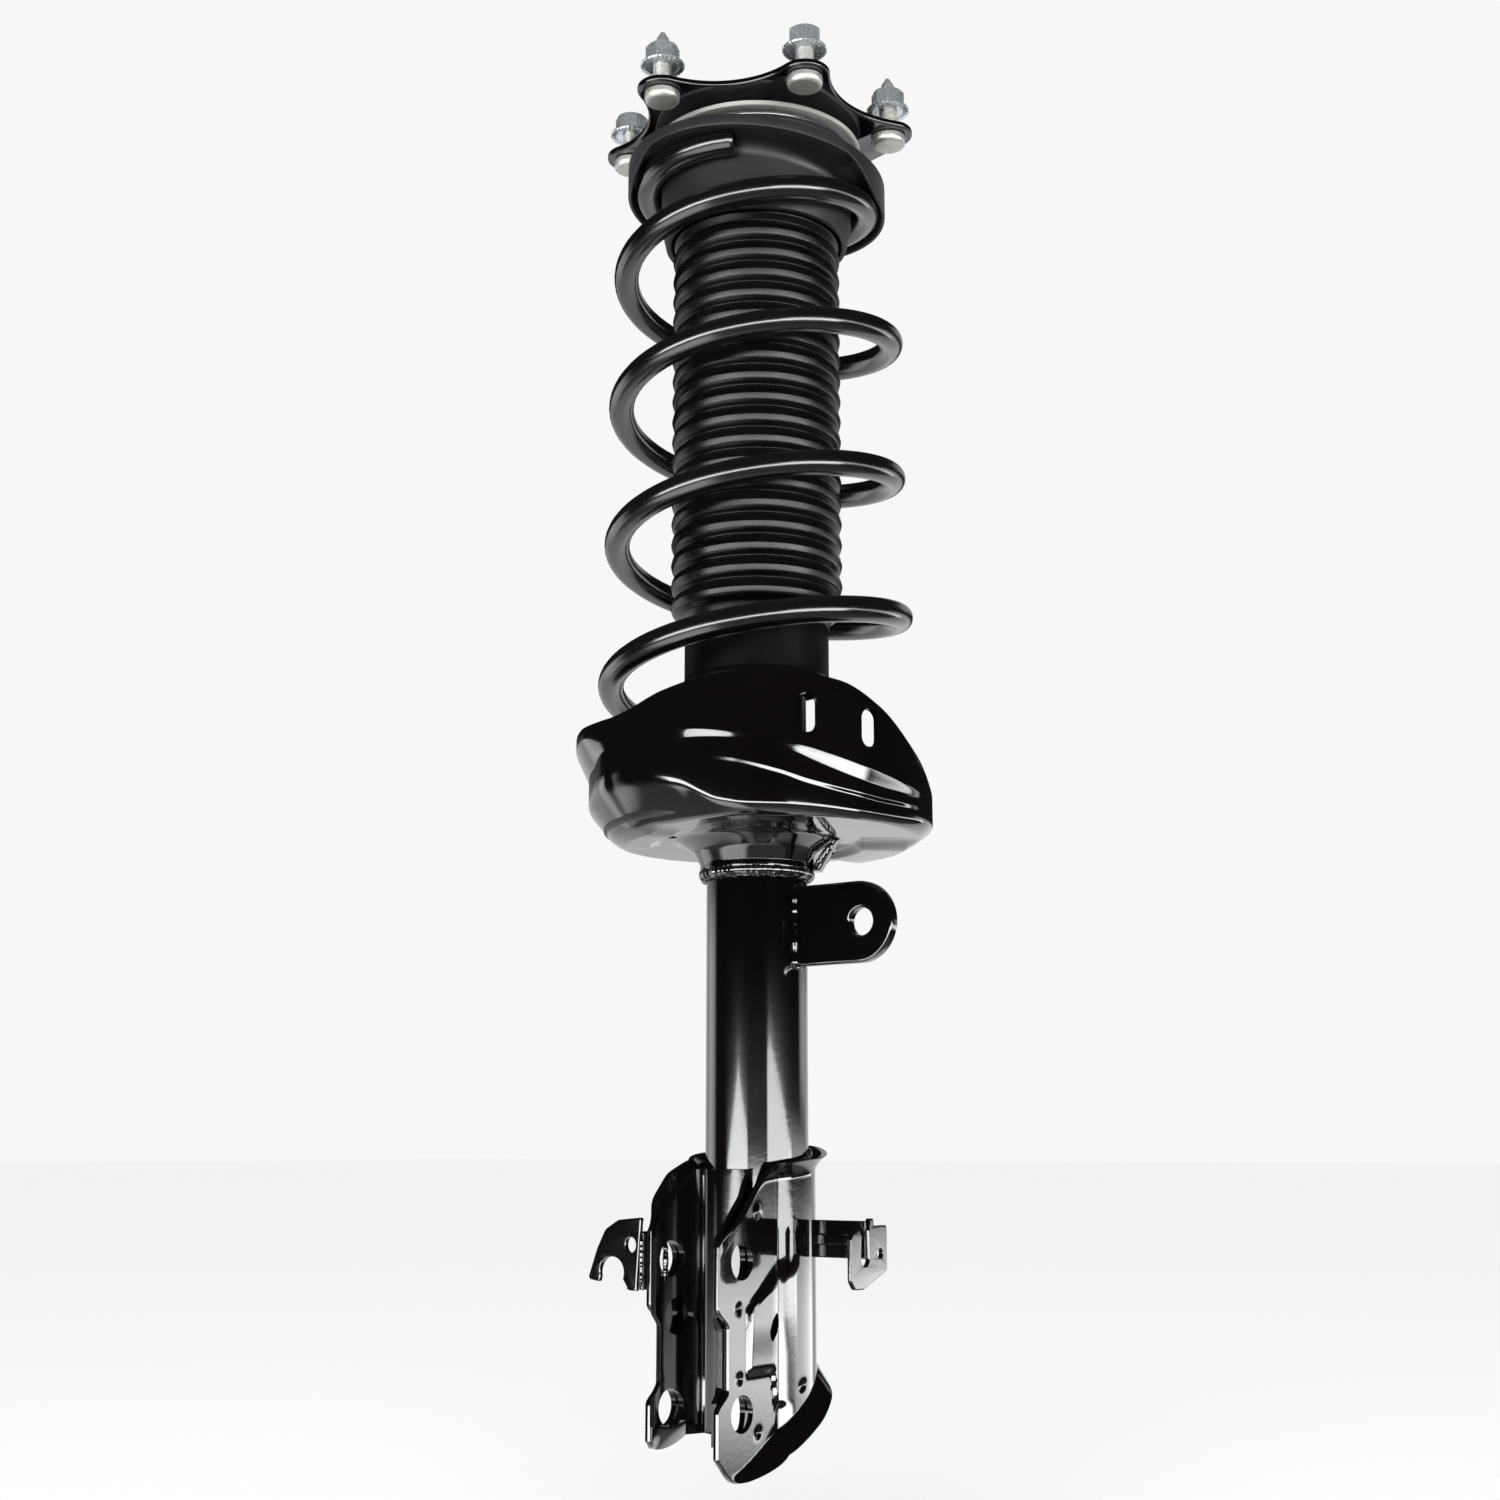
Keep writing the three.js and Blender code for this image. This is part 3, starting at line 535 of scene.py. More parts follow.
def make_finish(slot):
    values, (tint, dark, light), (grain, low, high), layers = FINISH_TABLE[slot]
    finish = Finish(slot, **values)
    finish.color(finish.pattern(*tint), dark, light)
    finish.roughness(finish.pattern(*grain), low, high)
    finish.bump(*[(finish.pattern(*spec), height) for spec, height in layers])
    return finish.material


FINISHES = {slot: make_finish(slot) for slot in FINISH_TABLE}


def paint(piece, slot):
    piece.data.materials.clear()
    piece.data.materials.append(FINISHES[slot])


def dress(piece, node, slot):
    """Gives a piece its finish and lets it stand for a CAD node on the same body."""
    paint(piece, slot)
    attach(piece, BODY_OF[node])
    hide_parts(node)
    return piece


def spin(node, slot, corners, steps=96, smooth=32):
    """Turns rounded (radius, z, rounding) corners about Z into the finer shape of a CAD node."""
    return dress(lathe(f"{node}_detail", rounded(corners), steps, smooth=smooth), node, slot)


# Top mount

STUD_COUNT = 5
STUD_RADIUS = 4.9
STUD_HEAD_RADIUS = 9.3
POINTED_SHANK_TOP = 25.0
STUD_NUT_ACROSS = 16.0
ROD_NUT_ACROSS = 22.0
ROD_RADIUS = 11
ROD_THREAD_RADIUS = 7
THREAD_PITCH = 1.25
THREAD_DEPTH = 0.62
PLATE_LOBE = 13
PLATE_WAIST = 62


def stud_places():
    places = []
    for index in range(STUD_COUNT):
        low, high = limits(f"mount_stud_{index + 1}")
        places.append(Vector(((low.x + high.x) / 2, (low.y + high.y) / 2, 0)))
    return places


def plate_outline(places, lobe, waist):
    """Round lobes about the studs, each joined to the next by a hollow arc tangent to both."""
    outline = []
    angles = [math.degrees(math.atan2(place.y, place.x)) for place in places]
    circle_radius = places[0].length
    for index, degrees in enumerate(angles):
        following = angles[(index + 1) % len(angles)]
        if following < degrees:
            following += 360
        half = math.radians((following - degrees) / 2)
        along_axis = waist - circle_radius * math.cos(half)
        across = circle_radius * math.sin(half)
        hollow = (along_axis**2 + across**2 - lobe**2) / (2 * (lobe - along_axis))
        hollow_centre = polar(waist + hollow, (degrees + following) / 2)
        here = polar(circle_radius, degrees)
        there = polar(circle_radius, following)
        leave = math.atan2(hollow_centre.y - here.y, hollow_centre.x - here.x)
        arrive = math.atan2(hollow_centre.y - there.y, hollow_centre.x - there.x)
        axis = math.radians(degrees)
        reach = math.remainder(leave - axis, FULL_TURN)
        for step in range(25):
            angle = axis - reach + 2 * reach * step / 24
            outline.append((here.x + lobe * math.cos(angle), here.y + lobe * math.sin(angle)))
        turn = math.remainder(arrive - leave, FULL_TURN)
        for step in range(1, 28):
            angle = leave + math.pi + turn * step / 28
            outline.append((hollow_centre.x + hollow * math.cos(angle),
                            hollow_centre.y + hollow * math.sin(angle)))
    return outline


def threaded(low, high, steps_per_pitch=6):
    count = round((high - low) / THREAD_PITCH * steps_per_pitch)
    return [low + (high - low) * index / count for index in range(count + 1)]


def thread_shape(low, high):
    """Cuts a helical thread into the shank between two heights, fading out at both ends."""

    def shape(radius, z, angle):
        if not low < z < high:
            return radius, z
        phase = (z / THREAD_PITCH - angle / FULL_TURN) % 1
        depth = THREAD_DEPTH * abs(2 * phase - 1)
        fade = min(1.0, (z - low) / 1.2, (high - z) / 1.2)
        return radius - depth * fade, z

    return shape


def make_stud(index, place):
    node = f"mount_stud_{index + 1}"
    low, high = limits(node)
    head_top = limits("mount_plate")[0].z - 0.3
    pointed = high.z > POINTED_SHANK_TOP
    shank_top = POINTED_SHANK_TOP if pointed else high.z
    profile = rounded([
        (0, low.z), (STUD_HEAD_RADIUS, low.z, 2.6), (STUD_HEAD_RADIUS, head_top, 0.6),
        (STUD_RADIUS + 1.4, head_top, 0.8), (STUD_RADIUS + 0.1, head_top + 1.4, 0.6),
        (STUD_RADIUS, head_top + 2.4),
    ], closed=False)
    heights = threaded(head_top + 2.6, shank_top - 1.4)
    profile += [(STUD_RADIUS, z) for z in heights]
    if pointed:
        profile += [(STUD_RADIUS - 0.6, shank_top - 0.4), (3.5, shank_top + 0.3), (3.3, shank_top + 2.6),
                    (2.7, shank_top + 3.4), (1.3, high.z - 0.5), (0.6, high.z), (0, high.z)]
    else:
        profile += [(STUD_RADIUS - 1.0, shank_top), (0, shank_top)]
    piece = lathe(f"{node}_detail", profile, 40, False, thread_shape(heights[0], heights[-1]))
    piece.data.transform(Matrix.Translation(place * MM))
    dress(piece, node, "stud_steel")


def crown_ring(steps, across, share, z, side, narrow, flat, tilt):
    """A ring of a nut's domed end, from its hexagon at share 0 to its round flat at share 1."""

    def place(angle):
        corner = hexagon_radius(across, angle) * narrow
        drop = max(0.0, corner - flat) * tilt * (1 - share)
        return corner + (flat - corner) * share, z + side * drop

    return ring_of(steps, place)


def make_stud_nut(index, place):
    """A flange nut: chamfered hexagon on a dished collar with teeth under it."""
    node = f"stud_nut_{index + 1}"
    low, high = limits(node)
    across = STUD_NUT_ACROSS
    bore = STUD_RADIUS - 0.3
    collar = radius_of(node) - 0.05
    teeth = 28
    steps = teeth * 6

    def ring(radius, height, to_hexagon=0.0, wavy=False):
        def at(angle):
            corner = hexagon_radius(across, angle)
            tooth = 0.45 * abs(2 * ((angle * teeth / FULL_TURN) % 1) - 1) if wavy else 0
            return radius + (corner - radius) * to_hexagon, height + tooth

        return ring_of(steps, at)

    levels = [
        (bore, 0.8), (bore + 1.6, 0.6), (collar - 3.4, 0.5), (collar - 3.0, 0, 0, True),
        (collar - 0.5, 0, 0, True), (collar, 0.75), (collar, 1.25), (collar - 0.4, 1.7), (9.6, 2.7),
        (0, 3.2, 0.99), (0, 3.9, 0.975),
    ]
    rings = [ring(radius, low.z + rise, *rest) for radius, rise, *rest in levels]
    for share in (0.0, 0.45, 0.8, 1.0):
        rings.append(crown_ring(steps, across, share, high.z, -1, 0.975, across / 2 - 0.1, 0.62))
    rings += [ring(bore + 1.0, high.z), ring(bore, high.z - 1.0)]
    piece = loft(f"{node}_detail", rings, closed=True, smooth=28)
    turn = Matrix.Rotation(math.radians(17 * index), 4, "Z")
    piece.data.transform(Matrix.Translation(place * MM) @ turn)
    dress(piece, node, "zinc_plate")


def make_rod_nut():
    low, high = limits("rod_nut")
    bore = ROD_THREAD_RADIUS - 0.2
    steps = 144

    def end(share, z, side):
        return crown_ring(steps, ROD_NUT_ACROSS, share, z, side, 0.985, ROD_NUT_ACROSS / 2 - 0.2, 0.6)

    def plain(radius, z):
        return ring_of(steps, lambda angle: (radius, z))

    rings = [plain(bore, low.z + 1), plain(bore + 1.1, low.z)]
    rings += [end(share, low.z, 1) for share in (1.0, 0.5, 0.0)]
    rings += [end(share, high.z, -1) for share in (0.0, 0.5, 1.0)]
    rings += [plain(bore + 1.1, high.z), plain(bore, high.z - 1)]
    dress(loft("rod_nut_detail", rings, closed=True, smooth=28), "rod_nut", "zinc_plate")


def make_top_mount():
    places = stud_places()
    low, high = limits("mount_plate")
    cup_low, cup_high = limits("mount_cup")
    cup = radius_of("mount_cup")
    holes = [circle(STUD_RADIUS + 0.6, (place.x, place.y), 24) for place in places]
    holes.append(circle(cup + 0.3, steps=72))
    outline = plate_outline(places, PLATE_LOBE, PLATE_WAIST)
    plate_piece = plate("mount_plate_detail", outline, holes, low.z, high.z, 1.1)
    dress(plate_piece, "mount_plate", "black_enamel")

    inner = cup - 2.6
    mouth = 19
    spin("mount_cup", "black_enamel", [
        (inner, low.z, 0.8), (cup, low.z, 0.8), (cup, cup_high.z, 4), (mouth, cup_high.z, 1),
        (mouth, cup_high.z - 2.6, 1), (inner, cup_high.z - 2.6, 2),
    ])

    bush_low, bush_high = limits("mount_bush")
    bush = radius_of("mount_bush")
    sleeve = radius_of("bush_sleeve")
    spin("mount_bush", "seat_rubber", [
        (sleeve + 0.1, bush_low.z, 1), (bush - 7, bush_low.z + 2.4, 3), (bush, bush_low.z, 1),
        (bush, bush_high.z, 1), (mouth + 1, bush_high.z, 1), (mouth - 3, bush_high.z - 2.4, 2),
        (sleeve + 0.1, bush_high.z - 0.4, 1),
    ])

    thread = ROD_THREAD_RADIUS
    sleeve_low, sleeve_high = limits("bush_sleeve")
    spin("bush_sleeve", "machined_steel", [
        (thread + 0.3, sleeve_low.z, 0.5), (sleeve, sleeve_low.z, 0.8), (sleeve, sleeve_high.z, 0.8),
        (thread + 0.3, sleeve_high.z, 0.5),
    ], 64)

    washer_low, washer_high = limits("rebound_washer")
    washer = radius_of("rebound_washer")
    spin("rebound_washer", "zinc_plate", [
        (thread + 0.3, washer_low.z, 0.4), (washer, washer_low.z, 0.9), (washer, washer_high.z - 0.6, 0.9),
        (washer - 4, washer_high.z, 2), (thread + 0.3, washer_high.z, 0.4),
    ], 72)
    make_rod_nut()

    for index, place in enumerate(places):
        make_stud(index, place)
        make_stud_nut(index, place)


# Strut bearing


def make_bearing():
    low, high = limits("bearing_upper_case")
    case = radius_of("bearing_upper_case")
    race_low, race_high = limits("bearing_lower_race")
    race = radius_of("bearing_lower_race")
    lid = low.z + 3.2
    spin("bearing_upper_case", "bearing_plastic", [
        (34, lid - 1.5, 1), (54.4, lid - 1.5, 1), (54.8, low.z, 0.5), (case, low.z, 0.6),
        (case, lid - 0.6, 0.8), (40, high.z - 1.6, 3), (38.4, high.z, 0.6), (34, high.z, 0.8),
    ], 144)
    spin("bearing_lower_race", "dark_plastic", [
        (36, race_low.z, 1), (race - 1, race_low.z, 1), (race - 1, race_high.z - 2, 0.5),
        (race - 2.2, race_high.z, 0.5), (51, race_high.z, 1), (46, race_high.z - 1.6, 3),
        (41, race_high.z, 1), (36, race_high.z, 1),
    ], 144)

    cage_low, cage_high = limits("bearing_cage")
    middle = (cage_low.z + cage_high.z) / 2
    cage = lathe("bearing_cage_detail", rounded([
        (41, middle - 1, 0.4), (51, middle - 1, 0.4), (51, middle + 1, 0.4), (41, middle + 1, 0.4),
    ]), 112)
    work = bmesh.new()
    work.from_mesh(cage.data)
    for index in range(14):
        place = Matrix.Translation(polar(46, 360 * index / 14, middle) * MM)
        bmesh.ops.create_uvsphere(work, u_segments=20, v_segments=12, radius=2.1 * MM, matrix=place)
    work.to_mesh(cage.data)
    work.free()
    shade(cage, 40)
    dress(cage, "bearing_cage", "machined_steel")


# Upper spring seat and its rubber isolator, whose band follows the first turn of the coil


def band_drop(degrees):
    lean = 0.5 * (1 + math.cos(math.radians(degrees - 25)))
    return 13 * lean**1.5


def band_height(degrees):
    """The band is low in the window where the coil's end can be seen."""
    place = (degrees + 180) % 360 - 180
    window = ramp(place, -132, -104) * (1 - ramp(place, -12, 14))
    return 18.5 - 12 * window


def make_upper_seat():
    low, high = limits("upper_spring_isolator")
    dish_low, dish_high = limits("upper_spring_seat")
    seat = radius_of("upper_spring_isolator")
    hub = 51.6
    bore = 46.2

    def seat_ring(degrees):
        top = high.z - band_drop(degrees)
        lip = top - band_height(degrees)
        groove = min(top - 7.6, -26.5)
        open_share = ramp(band_height(degrees), 14, 8)
        skirt = seat - 1.7
        deep = max(groove, lip + 0.6)
        corners = [
            (bore, low.z, 0.8), (49, low.z, 0.8), (hub, low.z + 12, 6),
            (hub, groove, 7), (skirt - 3 * open_share, deep, 2.2), (skirt, lip, 0.8), (seat, lip, 0.9),
            (seat, top, 1.6), (seat - 5, top, 1.2), (seat - 6, top - 2.6, 1),
            (52, dish_low.z - 0.6, 3), (bore, dish_low.z - 0.6, 1),
        ]
        return [polar(radius, degrees, z) for radius, z in rounded(corners, steps=6)]

    rings = [seat_ring(degrees) for degrees in np.arange(-180, 180, 2.0)]
    dress(loft("upper_spring_isolator_detail", rings, closed=True, smooth=50),
          "upper_spring_isolator", "seat_rubber")

    def dish_ring(degrees):
        edge = high.z - band_drop(degrees) - 2.0
        edge = min(edge, dish_high.z)
        corners = [
            (38, dish_low.z, 0.8), (52, dish_low.z, 3), (seat - 6.4, edge - 2.0, 1), (seat - 5.4, edge, 1),
            (52, dish_high.z, 3), (38, dish_high.z, 0.8),
        ]
        return [polar(radius, degrees, z) for radius, z in rounded(corners, steps=4)]

    rings = [dish_ring(degrees) for degrees in np.arange(-180, 180, 3.0)]
    dress(loft("upper_spring_seat_detail", rings, closed=True, smooth=50),
          "upper_spring_seat", "black_enamel")


# Dust boot


def make_boot():
    low, high = limits("dust_boot")
    ribs = 18
    pitch = 11.4
    rib = 45.0
    valley = 41.0
    cuff = 37.5
    wall = 1.5
    rib_top = high.z - 14.6
    rib_bottom = rib_top - ribs * pitch
    outer = [(rib - 0.4, high.z, 0.7), (rib - 0.4, rib_top + 3, 1.2)]
    for index in range(ribs):
        middle = rib_top - (index + 0.5) * pitch
        outer += [(valley, middle + pitch / 2, 0.7), (rib - 0.9, middle + 3.6, 3.0),
                  (rib, middle, 0.5), (rib - 0.9, middle - 3.6, 3.0)]
    outer += [(valley - 1.5, rib_bottom, 2.5), (cuff, rib_bottom - 6, 3), (cuff, low.z + 4, 2),
              (cuff + 0.9, low.z + 1.6, 0.8), (cuff + 0.9, low.z, 0.6)]
    inner = [(radius - wall, z, corner * 0.8) for radius, z, corner in outer]
    profile = rounded(inner + outer[::-1], steps=4)
    boot = lathe("dust_boot_detail", profile, 96, smooth=50)
    paint(boot, "boot_rubber")
    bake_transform(boot)
    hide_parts("dust_boot")


# Coil spring

WIRE = 6.6
SPRING_TURNS = 5.45
SPRING_PITCH = 76
SPRING_START_ANGLE = -65
WIRE_SIDES = 24


def spring_radius(turn):
    wider = 12.5 * ramp(turn, 0.6, 1.4) + 3.5 * ramp(turn, 2.5, 4.2)
    return 59.5 + wider - 2.5 * ramp(turn, 4.7, 5.3)


def make_spring():
    low, high = limits("coil_spring")
    steps = round(SPRING_TURNS * 72)
    z = high.z - WIRE
    path, outward, radii = [], [], []
    for step in range(steps + 1):
        turn = SPRING_TURNS * step / steps
        direction = polar(1, SPRING_START_ANGLE - 360 * turn)
        path.append(Vector((direction.x * spring_radius(turn), direction.y * spring_radius(turn), z)))
        outward.append(direction)
        radii.append(WIRE)
        slope = ramp(turn, 0.25, 0.85) * (1 - ramp(turn, 4.75, 5.36))
        z -= slope * SPRING_PITCH * SPRING_TURNS / steps
    top = path[0].z
    scale = (high.z - low.z - 2 * WIRE) / (top - path[-1].z)
    for place in path:
        place.z = top + (place.z - top) * scale
    radii[0] = radii[-1] = WIRE - 0.9
    path[1] = path[0].lerp(path[1], 0.25)
    path[-2] = path[-1].lerp(path[-2], 0.25)
    spring = sweep("coil_spring_detail", path, outward, radii, WIRE_SIDES)
    paint(spring, "spring_enamel")
    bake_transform(spring)
    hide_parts("coil_spring")


# Damper pieces that can be seen, and the bump stop, kept on a mesh of its own


def make_damper():
    low, high = limits("piston_rod")
    shoulder = -9
    rod = ROD_RADIUS
    thread = ROD_THREAD_RADIUS
    heights = threaded(shoulder + 12, high.z - 1.2)
    profile = [(0, low.z), (5.4, low.z), (6, low.z + 0.6), (6, -331.6), (rod - 0.6, -331.6), (rod, -331.0)]
    profile += [(rod, shoulder - 0.8), (rod - 0.8, shoulder), (thread, shoulder), (thread, shoulder + 11.5)]
    profile += [(thread, z) for z in heights]
    profile += [(thread - 1, high.z), (2.6, high.z), (2.2, high.z - 2.5), (0, high.z - 2.5)]
    piece = lathe("piston_rod_detail", profile, 64, False, thread_shape(heights[0], heights[-1]))
    dress(piece, "piston_rod", "rod_chrome")

    stop_low, stop_high = limits("bump_stop")
    bore = rod + 0.4
    waves = [(14, stop_low.z, 2), (18, -118, 4), (16.5, -104, 4), (21.5, -90, 5), (18.5, -75, 4),
             (23, -60, 5), (20, -45, 4), (24.2, -32, 4), (24.2, stop_high.z, 1)]
    corners = [(bore, stop_low.z, 1), *waves, (bore, stop_high.z, 1)]
    stop = spin("bump_stop", "stop_foam", corners, 72, smooth=50)
    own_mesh(stop)


# Strut tube


def make_tube():
    low, high = limits("strut_tube")
    outer = radius_of("strut_tube")
    spin("strut_tube", "black_enamel", [
        (outer - 2.5, low.z, 0.7), (outer, low.z, 0.9), (outer, high.z, 0.9), (outer - 2.5, high.z, 0.7),
    ], 128)

    cap_low, cap_high = limits("base_cap")
    cap = outer - 2.8
    profile = [(0, cap_low.z + 2.2)] + rounded([
        (cap - 7, cap_low.z + 2.2, 2), (cap - 4.5, cap_low.z + 0.2, 2), (cap, cap_low.z + 0.2, 0.8),
        (cap, cap_high.z, 0.6),
    ], closed=False) + [(0, cap_high.z)]
    dress(lathe("base_cap_detail", profile, 96, False), "base_cap", "black_enamel")

    cap_low, cap_high = limits("striker_cap")
    fit = outer + 0.3
    flange = 34.2
    spin("striker_cap", "dark_plastic", [
        (fit, cap_low.z, 0.6), (flange, cap_low.z, 0.6), (flange, cap_low.z + 7, 0.8),
        (fit + 2.8, cap_low.z + 9, 1.5), (fit + 2.8, cap_high.z, 2), (12.5, cap_high.z, 0.8),
        (12.5, high.z + 0.3, 0.5), (fit, high.z + 0.3, 0.5),
    ])


# Lower spring seat: heights and radii round the pan, by angle about the strut axis

PAN_RIM = [
    (-194, -370), (-164, -356), (-139, -341), (-102, -337), (-85, -330), (-65, -324), (-53, -322.5),
    (-28, -326.5), (-13, -336), (6, -354), (30, -370), (166, -370),
]
PAN_REACH = [(-194, 89.6), (-168, 90), (-150, 92.6), (-126, 92.4), (-114, 89.2), (-108, 87.4),
             (-84, 88), (-60, 89.2), (-30, 89.7), (0, 89.6), (166, 89.6)]
LEFT_TAPER = [(-176, 0.0), (-152, 7.0), (-126, 6.0), (-110, 0.0)]

# Two shallow jogs pressed into the wall: height of each, how far it steps in, and how tall it is
UPPER_JOG = [(-180, -361), (-150, -356), (-110, -351.5), (-76, -352.5), (-52, -357), (-42, -361), (-31, -366),
             (-20, -370), (-7, -373), (10, -375), (166, -375)]
UPPER_STEP = [(-82, 0.0), (-76, 0.62), (-70, 0.56), (-60, 0.34), (-54, 0.14), (-47, 0.22), (-40, 0.7),
              (-26, 1.2), (-12, 1.5), (2, 1.0), (13, 0.0)]
UPPER_TALL = [(-80, 4.4), (-70, 3.6), (-54, 2.4), (-46, 2.6), (-36, 5.4), (-24, 6.6), (-12, 6.4), (2, 4.2),
              (14, 2.6)]
LOWER_JOG = [(-110, -361), (-67, -364.5), (-48, -371), (-38, -375.5), (-24, -379), (-8, -381),
             (12, -381), (40, -380), (166, -380)]
LOWER_STEP = [(-72, 0.0), (-64, 0.22), (-40, 0.35), (-24, 0.6), (-4, 0.7), (12, 0.0)]
PAN_FOLD = [(-194, -384), (-150, -378), (-120, -374), (-104, -371.5), (-90, -373.5), (-78, -377), (-66, -386),
            (-56, -388.5), (-43, -388.5), (-19, -389), (0, -388.5), (15, -388), (40, -386), (166, -384)]
PAN_FLOOR_REACH = [(-194, 80), (-150, 74), (-104, 73), (-88, 74), (-72, 80), (-50, 85), (-12, 85.5),
                   (15, 85), (40, 82), (166, 80)]
PAN_SHEET = 3
PAN_START = PAN_RIM[0][0]
PAN_SLOTS = ((-39, -343.5), (-17, -348))
GUSSET_ANGLE = 25


def pan_corners(degrees):
    """The pan's outer profile at one angle, as (radius, height, rounding) corners from rim to neck."""
    floor = limits("lower_spring_pad")[0].z - 3.3
    neck_end = limits("lower_spring_seat")[0].z
    neck = 28.8
    reach = along(PAN_REACH, degrees)
    rim = along(PAN_RIM, degrees)
    step = along(UPPER_STEP, degrees) + along(LEFT_TAPER, degrees)
    tall = along(UPPER_TALL, degrees) + 3 * along(LEFT_TAPER, degrees) / 2
    upper = min(along(UPPER_JOG, degrees) + tall / 2, rim - 2)
    lower = min(along(LOWER_JOG, degrees), upper - tall - 1.5)
    second = along(LOWER_STEP, degrees)
    fold = min(along(PAN_FOLD, degrees), lower - 6)
    floor_reach = along(PAN_FLOOR_REACH, degrees)
    open_corner = 5 + 9 * ramp(degrees, -150, -120) * (1 - ramp(degrees, -88, -66))
    dip = 3.5 * ramp(degrees, 28, 42) * (1 - ramp(degrees, 78, 92))
    dip += 3.0 * ramp(degrees, -158, -146) * (1 - ramp(degrees, -108, -96))
    return [
        (reach, rim, 0), (reach, upper, 6), (reach - step, upper - tall, 6), (reach - step, lower, 2.5),
        (reach - step - second, lower - 1.8, 2.5), (reach - step - second, fold, open_corner),
        (floor_reach, floor, 5 + open_corner / 2), (floor_reach - 6, floor - dip, 3), (54, floor - dip, 3),
        (50, floor, 4), (41, floor, 9), (neck + 3.4, floor - 6, 6), (neck + 0.7, neck_end + 5.0, 2),
        (neck, neck_end + 3.6, 0.6), (neck, neck_end, 0),
    ]


def make_pan():
    profiles = {}

    def surface(across, down, depth):
        degrees = PAN_START + 360 * across
        if (degrees, depth) not in profiles:
            corners = pan_corners(degrees)
            outline = rounded(inset(corners, PAN_SHEET) if depth else corners, closed=False, steps=3)
            fine = [outline[0]]
            for start, end in zip(outline, outline[1:]):
                fine.append(((start[0] + end[0]) / 2, (start[1] + end[1]) / 2))
                fine.append(end)
            profiles[degrees, depth] = fine
        profile = profiles[degrees, depth]
        radius, z = profile[round(down * (len(profile) - 1))]
        return polar(radius, degrees, z)

    rows = 2 * len(rounded(pan_corners(0), closed=False, steps=3)) - 1
    pan = sheet("lower_spring_seat_detail", surface, 240, rows, True)
    soften(pan, 0.8, 60)
    slot = circle(5, steps=40, stretch=9)
    cutters = []
    for degrees, z in PAN_SLOTS:
        turn = Matrix.Translation((0, 0, z)) @ Matrix.Rotation(math.radians(degrees), 4, "Z") @ FACE_X
        cutters.append(prism("slot", slot, 70, 100, turn=turn))
    drain = polar(47, -124)
    cutters.append(prism("drain", circle(4, (drain.x, drain.y)), -402, -384))
    cut(pan, *cutters)
    dress(pan, "lower_spring_seat", "black_enamel")

    pad_low, pad_high = limits("lower_spring_pad")
    pad = radius_of("lower_spring_pad")
    spin("lower_spring_pad", "seat_rubber", [
        (62, pad_low.z, 0.8), (pad, pad_low.z, 1), (pad, pad_high.z, 1.2), (pad - 3, pad_high.z, 1),
        (70, pad_high.z - 1.2, 4), (65, pad_high.z, 1), (62, pad_high.z, 1),
    ], 120, smooth=50)

    outline = rounded([(29.1, -408, 1), (33, -408, 1.5), (41, -394, 3), (43, -392.4), (29.1, -392.4)])
    turn = Matrix.Rotation(math.radians(GUSSET_ANGLE), 4, "Z") @ FACE_Y
    gusset = plate("seat_gusset_detail", outline, [], -5, 5, 1.2, turn)
    dress(even(gusset), "seat_gusset", "black_enamel")


# Stabiliser link tab


def make_tab():
    low, high = limits("stabiliser_link_tab")
    middle = (low.z + high.z) / 2
    half = (high.z - low.z) / 2
    nose = high.x - half
    tip = arc(half, -math.pi / 2, math.pi / 2, 33, (nose, middle))
    outline = [(low.x, low.z), *tip, (low.x, high.z)]
    hole = circle(6.75, (64, middle), 40)
    tab = plate("stabiliser_link_tab_detail", outline, [hole], low.y, high.y, 1.2, FACE_Y)
    dress(even(tab), "stabiliser_link_tab", "black_enamel")
    tube = radius_of("strut_tube")
    for side in (-1, 1):
        x = math.sqrt(tube**2 - 3.4**2) + 0.6
        y = side * (high.y + 0.6)
        path = line(Vector((x, y, low.z - 1.5)), Vector((x, y, high.z + 1.5)))
        outward = [Vector((1, side, 0))] * len(path)
        weld(f"tab_weld_{'front' if side < 0 else 'rear'}", path, outward, 3.0, ripple=11)
    for name, z in (("top", high.z + 0.4), ("bottom", low.z - 0.4)):
        path = [Vector((x, y, z)) for x, y in arc(tube, -0.17, 0.17, 12, (0.6, 0))]
        weld(f"tab_weld_{name}", path, [Vector((1, 0, 0))] * len(path), 3.2)


# Knuckle bracket

BRACKET_TOP = [
    (-105, -585), (-98, -577), (-88, -565), (-78, -556), (-45, -547), (0, -543),
    (40, -549.5), (62, -551.5), (72, -552.5), (76, -554.5), (82, -559.8), (95, -573.6), (108, -587.6),
    (112, -591.3),
]
BRACKET_BOTTOM = [
    (-105, -677), (-98, -682), (-86, -684), (-58, -676), (-30, -655), (0, -648),
    (30, -660), (45, -672), (62, -684), (78, -690), (88, -692.3), (96, -693.4), (100, -691.4),
    (107, -684.5), (112, -680.3),
]

# The flare along the bottom edge: how tall it is and how far it stands out
LIP_TALL = [(-105, 10), (63, 10.4), (95, 4), (104, 3)]
LIP_REACH = [(-105, 6), (20, 6), (34, 8), (63, 8), (90, 4.5), (99, 0.0), (104, 0.0)]
NEAR_LENGTH = 109.5
FAR_LENGTH = 102.5
WRAP_RADIUS = 28.8
WRAP_END_Y = -16.5
EAR_OUTER = 24
EAR_SHEET = 3
BOLT_Y = -45
BOLT_HEIGHTS = (-596.5, -664)
BOLT_HOLE_RADIUS = 8.5
WAIST_TOP = -617
WAIST_BOTTOM = -662


